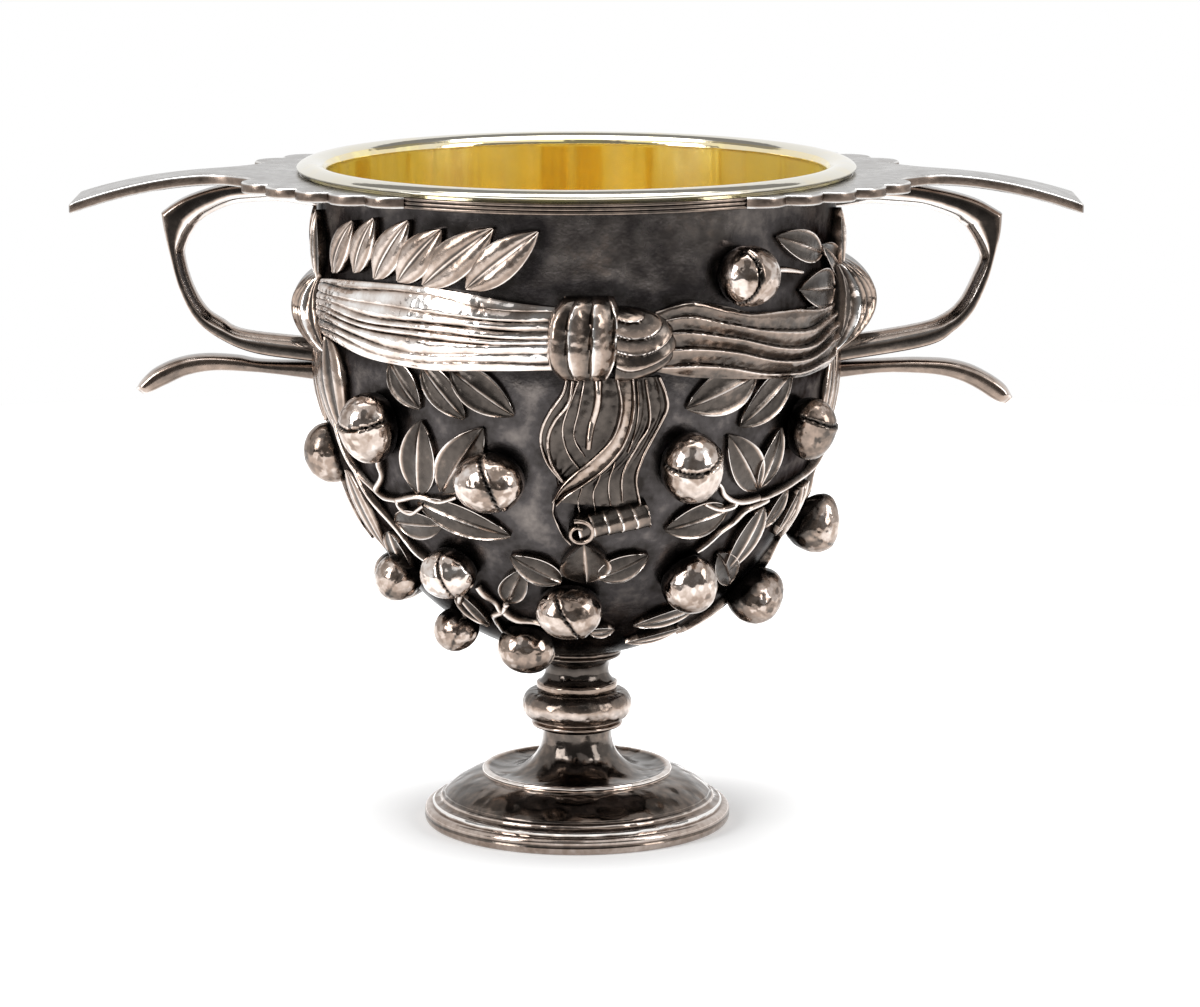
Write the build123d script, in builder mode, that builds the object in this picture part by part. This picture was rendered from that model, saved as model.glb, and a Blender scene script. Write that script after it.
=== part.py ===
from build123d import *

import os
from math import acos, atan2, cos, degrees, radians, sin

# A two-handled silver cup on a stemmed foot, with a loose gilt liner.
# Millimetres. Z is the cup's axis, the handles lie along X and the front faces -Y.
# The foot stands on Z = 0.

# Foot
foot_radius = 31.2
foot_wire_width = 1.6
foot_wire_height = 3.4
foot_sheet = 1.4
flange_height = 4.2
flange_ledge = 1.6
flange_step = 0.9
disc_radius = 19.0
disc_height = 11.0
disc_edge = 1.0
disc_border = 0.9
dome_bulge = 0.8
trumpet_flare_radius = 12.5
trumpet_neck_radius = 7.0
foot_height = 19.0
hub_depth = 2.2
hub_radius = 8.0

# Stem pieces stacked on the foot
lower_collar_radius = 9.3
lower_collar_height = 2.2
knop_radius = 11.2
knop_height = 5.8
knop_waist = 2.6
upper_collar_radius = 8.3
upper_collar_height = 7.2
upper_collar_ring = 2.0
upper_neck_radius = 6.5
seat_ring_radius = 9.3
seat_ring_height = 1.8

# Tie rod that clamps the stem, with its washer and nut inside the foot
rod_radius = 2.5
rod_clearance = 0.1
rod_head_radius = 5.5
rod_head_height = 1.6
rod_end_proud = 0.8
washer_radius = 5.0
washer_thickness = 1.0
nut_across_flats = 8.0
nut_height = 4.0

# Outer bowl: the lower half of an ellipsoid under a straight wall
bowl_radius = 52.0
bowl_depth = 65.0
bowl_seat_radius = 9.1
bowl_wall = 1.0
wall_height = 31.0
belly_steps = 8

# Reeded rim moulding
moulding_projection = 3.5
moulding_height = 2.3
reed_count = 3
reed_depth = 0.5

# Gilt liner, which hangs by its lip on the moulding
liner_wall = 0.8
liner_clearance = 0.4
liner_floor_gap = 3.4
lip_projection = 4.0
lip_height = 2.3
lip_edge_height = 0.9
lip_neck_projection = 1.4
lip_neck_height = 0.6
lip_inner_slope = 1.4

# Thumb plates
plate_thickness = 2.2
plate_reach = 48.7
plate_flat_reach = 16.0
plate_droop = 5.5
plate_tip_width = 21.0
plate_waist_width = 12.0
plate_waist_reach = 24.0
plate_root_width = 29.0
plate_root_reach = 12.0
lobe_radius = 5.0
lobe_turns = [17, 25, 33, 41, 49]
lobe_reaches = [16.5, 14.2, 11.8, 9.4, 7.0]
solder_gap = 0.05

# Ring handles, in the plane of the handles
ring_width = 7.0
left_ring_reach = 31.2
right_ring_reach = 33.3
ring_contact = 17.0
ring_corner_drop = 6.4
ring_arm = 3.4
ring_side = 2.2
ring_low_arm = 3.4
ring_foot_drop = 5.4

# Finger spurs
spur_width = 7.0
spur_root = 3.2
spur_thickness = 3.1
spur_bend = 13.8
left_spur_reach = 36.9
left_spur_rise = 1.9
left_spur_tip_drop = 6.0
right_spur_reach = 36.0
right_spur_rise = 0.9
right_spur_tip_drop = 8.2

# Relief on the bowl
leaf_thickness = 1.2
twig_width = 2.0
tail_thickness = 1.8
tail_width = 9.0
scroll_radius = 3.0
scroll_length = 14.0
relief_reach = 5.0
ribbon_rise = 6.5
ribbon_width = 13.0
ribbon_thickness = 2.2
ribbon_ridges = 6
ridge_depth = 0.5
knot_turn = 1.5
knot_spacing = 11.8
knot_lift = 0.5
left_wrap_lift = -2.4
left_wrap_radius = 8.0
left_wrap_end_radius = 5.6
left_wrap_height = 15.0
right_wrap_rise = 1.2
right_wrap_lift = -0.9
right_wrap_radius = 9.5
right_wrap_end_radius = 6.6
right_wrap_height = 18.0

# Heights that follow from the stack of pieces
lower_collar_z = foot_height
knop_z = lower_collar_z + lower_collar_height
upper_collar_z = knop_z + knop_height
seat_ring_z = upper_collar_z + upper_collar_height
bowl_base_z = seat_ring_z + seat_ring_height
seat_angle = degrees(acos(bowl_seat_radius / bowl_radius))
shoulder_z = bowl_base_z + bowl_depth * sin(radians(seat_angle))
rim_z = shoulder_z + wall_height
lip_seat_z = rim_z + moulding_height
hub_z = disc_height - hub_depth
moulding_radius = bowl_radius + moulding_projection
rod_hole_radius = rod_radius + rod_clearance

# Curve of a ring handle below its corner: set back in thicknesses of its side, at a share of its fall
RING_OUTER_BENDS = [(0.7, 0.3), (2, 0.6), (4, 0.8)]
RING_INNER_BENDS = [(2, 0.3), (3.4, 0.6)]
# Leaves on the belly: turn from the front, drop below the shoulder, length, width and lean from upright
LEFT_BELLY_LEAVES = [
    (-39, 4, 9.5, 5, 140),
    (-29, 5, 11.5, 5, 135),
    (-19, 4, 14, 6, 120),
    (-73, 8, 18, 5, 140),
    (-59, 2, 11, 4.5, 135),
    (-37, 16, 16, 7, 15),
    (-26, 16, 17, 7, 35),
    (-28, 27, 20, 6, 105),
    (-43, 30, 13.5, 5, 90),
    (-70, 32, 15, 6, -165),
    (-81, 33, 9, 5, 170),
    (-59, 39, 13, 5, -150),
    (-39, 52, 9, 4, 170),
    (-11, 37, 11, 5.5, -55),
    (-18, 42, 10, 4, 30),
    (2, 35, 9, 7, 0),
    (13, 37, 9.5, 5.5, 65),
    (12, 57, 5, 3, 90),
]
RIGHT_BELLY_LEAVES = [
    (32, 5, 16, 8, -105),
    (45, 7, 15, 7, -120),
    (42, 18, 17.5, 7, -40),
    (50, 17, 13, 6, 5),
    (35, 28, 18.5, 6, -100),
    (54, 34, 14, 7, -175),
    (62, 30, 9, 4, 180),
    (75, 32, 11, 5, 175),
    (51, 41, 10, 4, 165),
    (34, 54, 12.5, 4, -100),
    (37, 63, 11, 3.5, -100),
    (70, 57, 16, 4, -155),
]
# Leaves on the wall: turn, rise above the shoulder, length, width, lean
LEFT_WALL_LEAVES = [
    (-18, 22, 17.5, 6.5, 55),
    (-27, 22, 18, 6.5, 55),
    (-37, 22, 14, 6, 45),
    (-45, 22, 14, 5.5, 40),
    (-54, 22, 12, 5, 30),
    (-67, 19, 14, 6, 50),
    (-79, 20, 11, 6, 20),
]
RIGHT_WALL_LEAVES = [
    (56, 22, 16, 6, -70),
    (70, 12, 14, 9, -80),
    (76, 18, 18, 5, -60),
    (84, 20, 12, 6, 10),
]
# Twigs: turn and drop of each bend
LEFT_TWIGS = [
    [(-67, 14), (-60, 23), (-49, 25), (-40, 23.5), (-29, 23)],
    [(-60, 23), (-53, 31), (-46, 37)],
    [(-30, 43), (-26, 50), (-15, 55)],
    [(-26, 50), (-32, 55), (-40, 64)],
]
RIGHT_TWIGS = [
    [(84, 22), (67, 24.5), (50, 25), (43, 25.5), (33, 25)],
    [(48, 26.5), (42, 31.5), (34, 36)],
    [(84, 22), (83, 33), (78, 45)],
]
# Fruit on the belly: turn, drop, radius and lift of its middle off the bowl
LEFT_FRUITS = [
    (-48.5, 12, 6.0, 3),
    (-18.5, 18.3, 6.3, 3),
    (-35, 38.2, 5.4, 3),
    (-60, 43, 4.8, 3),
    (-51, 56.5, 4.5, 3),
    (-21, 61.5, 4.8, 3),
    (-2, 46, 5.8, 3),
]
RIGHT_FRUITS = [
    (25, 16, 6.5, 3),
    (58.5, 12.3, 5.4, 3),
    (32, 40, 5.5, 3),
    (80, 48.5, 5.1, 4),
]
# Fruit under the handles, which only the front has
LEFT_HANDLE_FRUITS = [(-84, 20.5, 5.0, 1)]
RIGHT_HANDLE_FRUITS = [(86, 33.3, 5.3, 4.5)]
# Fruit on the wall: turn, rise, radius and lift
RIGHT_WALL_FRUITS = [(36.5, 18, 5.8, 3)]
# Ribbon tails: turn and drop of each bend
TAIL_PATHS = [
    [(4, 1), (-1, 10), (1, 17)],
    [(14, 1), (14, 9), (10, 16), (4, 23)],
]
# Knot: turn, rise, height, middle radius and end radius of each wrap
KNOT_WRAPS = [
    (knot_turn, 6.7, 16.5, 6.8, 5.2),
    (knot_turn + degrees(knot_spacing / bowl_radius), 5.8, 14.0, 5.6, 3.8),
]
SCROLL_TURN = 8
SCROLL_DROP = 28


def write(piece, name):
    """Labels a finished piece and writes it."""
    piece.part.label = name
    export_step(piece.part, f"parts/{name}.step")


def turned(name, piece):
    """The same piece on the far side of the cup, half a turn round."""
    with BuildPart() as copy:
        add(piece.part, rotation=(0, 0, 180))
    write(copy, name)
    return copy


def mirrored(name, piece):
    """The same piece on the other handle."""
    with BuildPart() as copy:
        mirror(piece.part, about=Plane.YZ)
    write(copy, name)


def surface_plane(point, normal, turn, lean, lift):
    """A plane lying on the bowl, whose X axis points along a leaf that leans from upright."""
    out = normal.normalized()
    east = Vector(cos(turn), sin(turn), 0)
    up = out.cross(east)
    along = up * cos(radians(lean)) + east * sin(radians(lean))
    return Plane(origin=point + out * lift, x_dir=along, z_dir=out)


def belly_point(angle, drop):
    turn = radians(angle)
    across = bowl_radius * cos(radians(drop))
    return Vector(across * sin(turn), -across * cos(turn), shoulder_z - bowl_depth * sin(radians(drop)))


def belly_plane(angle, drop, lean, lift=0.0):
    turn = radians(angle)
    outward = cos(radians(drop)) / bowl_radius
    downward = sin(radians(drop)) / bowl_depth
    normal = Vector(outward * sin(turn), -outward * cos(turn), -downward)
    return surface_plane(belly_point(angle, drop), normal, turn, lean, lift)


def wall_plane(angle, rise, lean, lift=0.0):
    turn = radians(angle)
    normal = Vector(sin(turn), -cos(turn), 0)
    point = normal * bowl_radius + Vector(0, 0, shoulder_z + rise)
    return surface_plane(point, normal, turn, lean, lift)


def strap_plane(start, end):
    """The plane midway between two bends of a twig or ribbon, with X along it, and their distance."""
    run = belly_point(*end) - belly_point(*start)
    middle = belly_plane((start[0] + end[0]) / 2, (start[1] + end[1]) / 2, 0)
    lean = degrees(atan2(run.dot(-middle.y_dir), run.dot(middle.x_dir)))
    return belly_plane((start[0] + end[0]) / 2, (start[1] + end[1]) / 2, lean), run.length


def belly_curve(radius, depth, low_angle):
    """Points up the belly's elliptical profile to the shoulder, and the tangents at its ends."""
    turns = [radians(low_angle * (1 - step / belly_steps)) for step in range(belly_steps + 1)]
    points = [(radius * cos(turn), shoulder_z - depth * sin(turn)) for turn in turns]
    return points, [(radius * sin(turns[0]), depth * cos(turns[0])), (0, 1)]


def bowl_solid(grow):
    """The bowl filled in, grown on its outside by a thickness."""
    points, tangents = belly_curve(bowl_radius + grow, bowl_depth + grow, seat_angle)
    with BuildPart() as core:
        with BuildSketch(Plane.XZ):
            with BuildLine():
                Spline(points, tangents=tangents)
                Polyline(points[-1], (bowl_radius + grow, rim_z), (0, rim_z), (0, points[0][1]), points[0])
            make_face()
        revolve(axis=Axis.Z)
    return core.part


def ring_piece(radius, low, high, bead):
    """A ring round the tie rod with a rounded edge, which bulges by the bead."""
    with BuildPart() as ring:
        with BuildSketch(Plane.XZ):
            with BuildLine():
                ThreePointArc((radius - bead, low), (radius, (low + high) / 2), (radius - bead, high))
                Polyline(
                    (radius - bead, high),
                    (rod_hole_radius, high),
                    (rod_hole_radius, low),
                    (radius - bead, low),
                )
            make_face()
        revolve(axis=Axis.Z)
    return ring


def barrel(plane, height, middle_radius, end_radius):
    """A wrap of ribbon: a barrel standing upright, half sunk in the bowl."""
    with BuildPart() as wrap:
        with BuildSketch(Plane(origin=plane.origin, x_dir=plane.z_dir, z_dir=-plane.y_dir)):
            with BuildLine():
                ThreePointArc((end_radius, -height / 2), (middle_radius, 0), (end_radius, height / 2))
                Polyline(
                    (end_radius, height / 2), (0, height / 2), (0, -height / 2), (end_radius, -height / 2)
                )
            make_face()
        revolve(axis=Axis(plane.origin, (0, 0, 1)))
        add(bowl_core, mode=Mode.SUBTRACT)
    return wrap


def ribbon_quarter(start, end, cuts):
    """A level length of ridged ribbon between two turns, less the wraps that cover its ends."""
    low = shoulder_z + ribbon_rise - ribbon_width / 2
    step = ribbon_width / ribbon_ridges
    crest = bowl_radius + ribbon_thickness
    turn = radians(start)
    section = Plane(origin=(0, 0, 0), x_dir=(sin(turn), -cos(turn), 0), z_dir=(-cos(turn), -sin(turn), 0))
    with BuildPart() as band:
        with BuildSketch(section):
            with BuildLine():
                for ridge in range(ribbon_ridges):
                    bottom = low + ridge * step
                    valley = crest - ridge_depth
                    ThreePointArc((valley, bottom), (crest, bottom + step / 2), (valley, bottom + step))
                Polyline(
                    (valley, low + ribbon_width),
                    (bowl_radius - bowl_wall, low + ribbon_width),
                    (bowl_radius - bowl_wall, low),
                    (valley, low),
                )
            make_face()
        revolve(axis=Axis.Z, revolution_arc=end - start)
        for cut in cuts:
            add(cut.part, mode=Mode.SUBTRACT)
        add(bowl_core, mode=Mode.SUBTRACT)
    return band


def fruit(seat, radius):
    """One round fruit, cut to the bowl that it stands on."""
    with BuildPart() as ball:
        with Locations(seat):
            Sphere(radius)
        add(bowl_core, mode=Mode.SUBTRACT)
    return ball.part


def fruit_group(belly_fruits, wall_fruits, cuts):
    balls = [fruit(belly_plane(turn, drop, 0, lift), radius) for turn, drop, radius, lift in belly_fruits]
    balls += [fruit(wall_plane(turn, rise, 0, lift), radius) for turn, rise, radius, lift in wall_fruits]
    with BuildPart() as fruits:
        add(balls)
        for cut in cuts:
            add(cut.part, mode=Mode.SUBTRACT)
    return fruits


def leaf_spray(belly_leaves, wall_leaves, twigs, cuts):
    """Leaves and twigs of one thickness lying on the bowl, cut where fruit and ribbon cover them."""
    seats = [(belly_plane(a, d, lean), l, w) for a, d, l, w, lean in belly_leaves]
    seats += [(wall_plane(a, r, lean), l, w) for a, r, l, w, lean in wall_leaves]
    with BuildPart() as spray:
        for seat, length, width in seats:
            with BuildSketch(seat):
                with BuildLine():
                    ThreePointArc((-length / 2, 0), (0, width / 2), (length / 2, 0))
                    ThreePointArc((length / 2, 0), (0, -width / 2), (-length / 2, 0))
                make_face()
            extrude(amount=relief_reach, both=True)
        for twig in twigs:
            for start, end in zip(twig, twig[1:]):
                seat, length = strap_plane(start, end)
                with BuildSketch(seat):
                    SlotCenterToCenter(length, twig_width)
                extrude(amount=relief_reach, both=True)
        add(leaf_layer, mode=Mode.INTERSECT)
        for cut in cuts:
            add(cut.part, mode=Mode.SUBTRACT)
    return spray


os.makedirs("parts", exist_ok=True)

# Foot
flange_radius = foot_radius - foot_wire_width
step_radius = flange_radius - flange_ledge
dome_radius = step_radius - flange_step
step_top_z = flange_height + 2 * flange_step
disc_low_z = disc_height - disc_edge
with BuildPart() as foot:
    with BuildSketch(Plane.XZ):
        with BuildLine():
            Polyline(
                (flange_radius, 0),
                (flange_radius, flange_height),
                (step_radius, flange_height + flange_step),
                (dome_radius, step_top_z),
            )
            ThreePointArc(
                (dome_radius, step_top_z),
                ((dome_radius + disc_radius) / 2, (step_top_z + disc_low_z) / 2 + dome_bulge),
                (disc_radius, disc_low_z),
            )
            Polyline(
                (disc_radius, disc_low_z),
                (disc_radius, disc_height),
                (disc_radius - disc_border, disc_height),
                (trumpet_flare_radius, disc_height - disc_border / 2),
            )
            TangentArc(
                (trumpet_flare_radius, disc_height - disc_border / 2),
                (trumpet_neck_radius, foot_height),
                tangent=(-1, 0),
            )
            Polyline(
                (trumpet_neck_radius, foot_height),
                (rod_hole_radius, foot_height),
                (rod_hole_radius, hub_z),
                (hub_radius, hub_z),
                (disc_radius - 2 * foot_sheet, disc_low_z - foot_sheet),
                (dome_radius - foot_sheet, step_top_z - 2 * foot_sheet),
                (flange_radius - foot_sheet, flange_height - foot_sheet),
                (flange_radius - foot_sheet, 0),
                (flange_radius, 0),
            )
        make_face()
    revolve(axis=Axis.Z)
write(foot, "foot")

with BuildPart() as foot_wire:
    with BuildSketch(Plane.XZ):
        with BuildLine():
            round_start = foot_radius - foot_wire_width / 2
            Polyline(
                (round_start, foot_wire_height),
                (flange_radius, foot_wire_height),
                (flange_radius, 0),
                (round_start, 0),
            )
            ThreePointArc(
                (round_start, 0), (foot_radius, foot_wire_height / 2), (round_start, foot_wire_height)
            )
        make_face()
    revolve(axis=Axis.Z)
write(foot_wire, "foot_wire")

# Stem
lower_collar = ring_piece(lower_collar_radius, lower_collar_z, knop_z, lower_collar_height / 2)
write(lower_collar, "lower_collar")

stem_knop = ring_piece(knop_radius, knop_z, upper_collar_z, knop_waist)
write(stem_knop, "stem_knop")

neck_z = upper_collar_z + upper_collar_ring
ring_bead = upper_collar_ring / 3
with BuildPart() as upper_collar:
    with BuildSketch(Plane.XZ):
        with BuildLine():
            ThreePointArc(
                (upper_collar_radius - ring_bead, upper_collar_z),
                (upper_collar_radius, (upper_collar_z + neck_z) / 2),
                (upper_collar_radius - ring_bead, neck_z),
            )
            ThreePointArc(
                (upper_collar_radius - ring_bead, neck_z),
                (upper_neck_radius, (neck_z + seat_ring_z) / 2),
                (upper_collar_radius, seat_ring_z),
            )
            Polyline(
                (upper_collar_radius, seat_ring_z),
                (rod_hole_radius, seat_ring_z),
                (rod_hole_radius, upper_collar_z),
                (upper_collar_radius - ring_bead, upper_collar_z),
            )
        make_face()
    revolve(axis=Axis.Z)
write(upper_collar, "upper_collar")

seat_ring = ring_piece(seat_ring_radius, seat_ring_z, bowl_base_z, seat_ring_height / 3)
write(seat_ring, "seat_ring")

# Tie rod from the bowl's floor down to the nut inside the foot
washer_z = hub_z - washer_thickness
nut_z = washer_z - nut_height
rod_end_z = nut_z - rod_end_proud
bowl_floor_z = shoulder_z - (bowl_depth - bowl_wall) * sin(radians(seat_angle))
with BuildPart() as tie_rod:
    with BuildSketch(Plane.XY.offset(rod_end_z)):
        Circle(rod_radius)
    extrude(amount=bowl_floor_z - rod_end_z)
    with BuildSketch(Plane.XY.offset(bowl_floor_z)):
        Circle(rod_head_radius)
    extrude(amount=rod_head_height)
write(tie_rod, "tie_rod")

with BuildPart() as foot_washer:
    with BuildSketch(Plane.XY.offset(washer_z)):
        Circle(washer_radius)
        Circle(rod_hole_radius, mode=Mode.SUBTRACT)
    extrude(amount=washer_thickness)
write(foot_washer, "foot_washer")

with BuildPart() as foot_nut:
    with BuildSketch(Plane.XY.offset(nut_z)):
        RegularPolygon(nut_across_flats / 2, 6, major_radius=False)
        Circle(rod_hole_radius, mode=Mode.SUBTRACT)
    extrude(amount=nut_height)
write(foot_nut, "foot_nut")

# Outer bowl
inner_radius = bowl_radius - bowl_wall
belly, belly_tangents = belly_curve(bowl_radius, bowl_depth, seat_angle)
hollow, hollow_tangents = belly_curve(inner_radius, bowl_depth - bowl_wall, seat_angle)
with BuildPart() as outer_bowl:
    with BuildSketch(Plane.XZ):
        with BuildLine():
            Spline(belly, tangents=belly_tangents)
            Spline(hollow, tangents=hollow_tangents)
            Polyline(belly[-1], (bowl_radius, rim_z), (inner_radius, rim_z), hollow[-1])
            Polyline(hollow[0], (rod_hole_radius, hollow[0][1]), (rod_hole_radius, bowl_base_z), belly[0])
        make_face()
    revolve(axis=Axis.Z)
write(outer_bowl, "outer_bowl")

# Reeded rim moulding on the bowl's edge
reed_height = moulding_height / reed_count
reed_valley = moulding_radius - reed_depth
with BuildPart() as rim_moulding:
    with BuildSketch(Plane.XZ):
        with BuildLine():
            for reed in range(reed_count):
                reed_z = rim_z + reed * reed_height
                ThreePointArc(
                    (reed_valley, reed_z),
                    (moulding_radius, reed_z + reed_height / 2),
                    (reed_valley, reed_z + reed_height),
                )
            Polyline(
                (reed_valley, lip_seat_z),
                (inner_radius, lip_seat_z),
                (inner_radius, rim_z),
                (reed_valley, rim_z),
            )
        make_face()
    revolve(axis=Axis.Z)
write(rim_moulding, "rim_moulding")

# Liner
liner_radius = inner_radius - liner_clearance
liner_inside = liner_radius - liner_wall
lip_radius = bowl_radius + lip_projection
lip_neck_radius = bowl_radius + lip_neck_projection
lip_under_z = lip_seat_z + lip_neck_height
lip_edge_z = lip_seat_z + lip_edge_height
lip_top_z = lip_seat_z + lip_height
lip_inner_radius = liner_inside + lip_inner_slope
liner_depth = shoulder_z - bowl_floor_z - rod_head_height - liner_floor_gap
outside, outside_tangents = belly_curve(liner_radius, liner_depth, 90)
inside, inside_tangents = belly_curve(liner_inside, liner_depth - liner_wall, 90)
with BuildPart() as liner:
    with BuildSketch(Plane.XZ):
        with BuildLine():
            Spline(outside, tangents=outside_tangents)
            Polyline(
                outside[-1],
                (liner_radius, lip_seat_z),
                (lip_neck_radius, lip_seat_z),
                (lip_neck_radius, lip_under_z),
                (lip_radius, lip_edge_z),
            )
            ThreePointArc(
                (lip_radius, lip_edge_z),
                ((lip_radius + lip_inner_radius) / 2, lip_top_z),
                (lip_inner_radius, lip_edge_z),
            )
            Polyline((lip_inner_radius, lip_edge_z), (liner_inside, lip_seat_z), inside[-1])
            Spline(inside, tangents=inside_tangents)
            Line(inside[0], outside[0])
        make_face()
    revolve(axis=Axis.Z)
write(liner, "liner")

# Filled bowl and the layers that relief is cut from
bowl_core = bowl_solid(0)
leaf_layer = bowl_solid(leaf_thickness) - bowl_core
tail_layer = bowl_solid(tail_thickness) - bowl_core

# Thumb plate: a drooping strip cut to a scalloped crescent with a waisted tail
plate_tip_x = bowl_radius + plate_reach
plate_bend_x = bowl_radius + plate_flat_reach
plate_low_z = lip_seat_z - plate_thickness
with BuildPart() as right_thumb_plate:
    with BuildSketch(Plane.XZ):
        with BuildLine():
            top = TangentArc(
                (plate_bend_x, lip_seat_z), (plate_tip_x, lip_seat_z - plate_droop), tangent=(1, 0)
            )
            under = TangentArc(
                (plate_bend_x, plate_low_z), (plate_tip_x, plate_low_z - plate_droop), tangent=(1, 0)
            )
            Polyline(under @ 0, (0, plate_low_z), (0, lip_seat_z), top @ 0)
            Line(top @ 1, under @ 1)
        make_face()
    extrude(amount=moulding_radius, both=True)
    with BuildSketch(Plane.XY) as plate_plan:
        for turn, reach in zip(lobe_turns, lobe_reaches):
            lobe_distance = bowl_radius + reach - lobe_radius
            for side in (-1, 1):
                place = (lobe_distance * cos(radians(turn)), side * lobe_distance * sin(radians(turn)))
                with Locations(place):
                    Circle(lobe_radius)
        crescent = [
            (
                (bowl_radius + reach - lobe_radius) * cos(radians(turn)),
                (bowl_radius + reach - lobe_radius) * sin(radians(turn)),
            )
            for turn, reach in zip(lobe_turns, lobe_reaches)
        ]
        with BuildLine():
            Polyline([(0, 0)] + crescent[::-1] + [(x, -y) for x, y in crescent] + [(0, 0)])
        make_face()
        with BuildLine():
            root_x = bowl_radius + plate_root_reach
            waist_x = bowl_radius + plate_waist_reach
            upper_edge = Spline(
                (root_x, plate_root_width / 2),
                (waist_x, plate_waist_width / 2),
                (plate_tip_x, plate_tip_width / 2),
            )
            lower_edge = Spline(
                (root_x, -plate_root_width / 2),
                (waist_x, -plate_waist_width / 2),
                (plate_tip_x, -plate_tip_width / 2),
            )
            Line(upper_edge @ 1, lower_edge @ 1)
            Polyline(upper_edge @ 0, (bowl_radius, 0), lower_edge @ 0)
        make_face()
        Circle(moulding_radius + solder_gap, mode=Mode.SUBTRACT)
    extrude(amount=2 * lip_seat_z, mode=Mode.INTERSECT)
write(right_thumb_plate, "right_thumb_plate")
mirrored("left_thumb_plate", right_thumb_plate)

# Ribbon wraps over the foot of each ring handle
right_wrap_seat = wall_plane(90, ribbon_rise + right_wrap_rise, 0, right_wrap_lift)
right_wrap = barrel(right_wrap_seat, right_wrap_height, right_wrap_radius, right_wrap_end_radius)
left_wrap_seat = wall_plane(-90, ribbon_rise, 0, left_wrap_lift)
left_wrap = barrel(left_wrap_seat, left_wrap_height, left_wrap_radius, left_wrap_end_radius)
write(right_wrap, "right_ribbon_wrap")
write(left_wrap, "left_ribbon_wrap")

# Handles, drawn on the right and mirrored for the left, which differs a little in reach
ring_top_z = lip_seat_z - plate_thickness
ring_corner_z = ring_top_z - ring_corner_drop
ring_foot_z = shoulder_z - ring_foot_drop
ring_root_x = bowl_radius - bowl_wall
ring_fall = ring_corner_z - ring_foot_z


def ring_handle(reach):
    """A loop from the wall under the plate, out to a pointed corner and back to the shoulder."""
    corner_x = bowl_radius + reach

    def bends(rows):
        return [(corner_x - back * ring_side, ring_corner_z - share * ring_fall) for back, share in rows]

    outside = [(corner_x, ring_corner_z)] + bends(RING_OUTER_BENDS)
    outside += [
        (bowl_radius + 0.7 * ring_contact, ring_foot_z + ring_low_arm / 3),
        (ring_root_x, ring_foot_z),
    ]
    inside = [
        (ring_root_x, ring_top_z - 1.2 * ring_arm),
        (bowl_radius + 0.8 * ring_contact, ring_top_z - ring_arm),
        (corner_x - 2.6 * ring_side, ring_corner_z - ring_arm / 2),
    ]
    inside += bends(RING_INNER_BENDS)
    inside += [
        (bowl_radius + ring_contact, ring_foot_z + 1.9 * ring_low_arm),
        (ring_root_x, ring_foot_z + ring_low_arm),
    ]
    with BuildPart() as loop:
        with BuildSketch(Plane.XZ):
            with BuildLine():
                Line((ring_root_x, ring_top_z), (bowl_radius + ring_contact, ring_top_z))
                Spline(
                    (bowl_radius + ring_contact, ring_top_z),
                    outside[0],
                    tangents=[(1, -0.1), (1, -0.8)],
                )
                Spline(outside, tangents=[(-0.1, -1), (-1, 0)])
                Line(outside[-1], (ring_root_x, ring_top_z))
            make_face()
            with BuildLine():
                Spline(inside, tangents=[(1, 0.1), (-1, -0.1)])
                Line(inside[-1], inside[0])
            make_face(mode=Mode.SUBTRACT)
        extrude(amount=ring_width / 2, both=True)
        add(bowl_core, mode=Mode.SUBTRACT)
        for neighbour in (right_wrap, rim_moulding, right_thumb_plate):
            add(neighbour.part, mode=Mode.SUBTRACT)
    return loop


def finger_spur(reach, rise, tip_drop, ring):
    """A lever from the foot of the ring, bending down to a rounded tip."""
    tip_x = bowl_radius + reach
    tip_z = ring_foot_z - tip_drop
    crest_x = tip_x - spur_bend
    crest_z = ring_foot_z + rise
    with BuildPart() as lever:
        with BuildSketch(Plane.XZ):
            with BuildLine():
                top = Spline(
                    (ring_root_x, ring_foot_z),
                    (crest_x, crest_z),
                    (tip_x, tip_z),
                    tangents=[(1, 0), (0.4, -1)],
                )
                under = Spline(
                    (ring_root_x, ring_foot_z - spur_root),
                    (crest_x, crest_z - spur_thickness),
                    (tip_x - spur_thickness / 2, tip_z - spur_thickness / 4),
                    tangents=[(1, 0.1), (0.6, -1)],
                )
                Line(top @ 1, under @ 1)
                Line(top @ 0, under @ 0)
            make_face()
        extrude(amount=spur_width / 2, both=True)
        add(bowl_core, mode=Mode.SUBTRACT)
        add(ring.part, mode=Mode.SUBTRACT)
    return lever


right_ring_handle = ring_handle(right_ring_reach)
left_ring_pattern = ring_handle(left_ring_reach)
write(right_ring_handle, "right_ring_handle")
mirrored("left_ring_handle", left_ring_pattern)
right_finger_spur = finger_spur(right_spur_reach, right_spur_rise, right_spur_tip_drop, right_ring_handle)
left_spur_pattern = finger_spur(left_spur_reach, left_spur_rise, left_spur_tip_drop, left_ring_pattern)
write(right_finger_spur, "right_finger_spur")
mirrored("left_finger_spur", left_spur_pattern)

# Knot at the front, in two wraps side by side
with BuildPart() as front_knot:
    for angle, rise, height, middle, end in KNOT_WRAPS:
        add(barrel(wall_plane(angle, rise, 0, -knot_lift), height, middle, end).part)
write(front_knot, "front_knot")
back_knot = turned("back_knot", front_knot)

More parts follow.
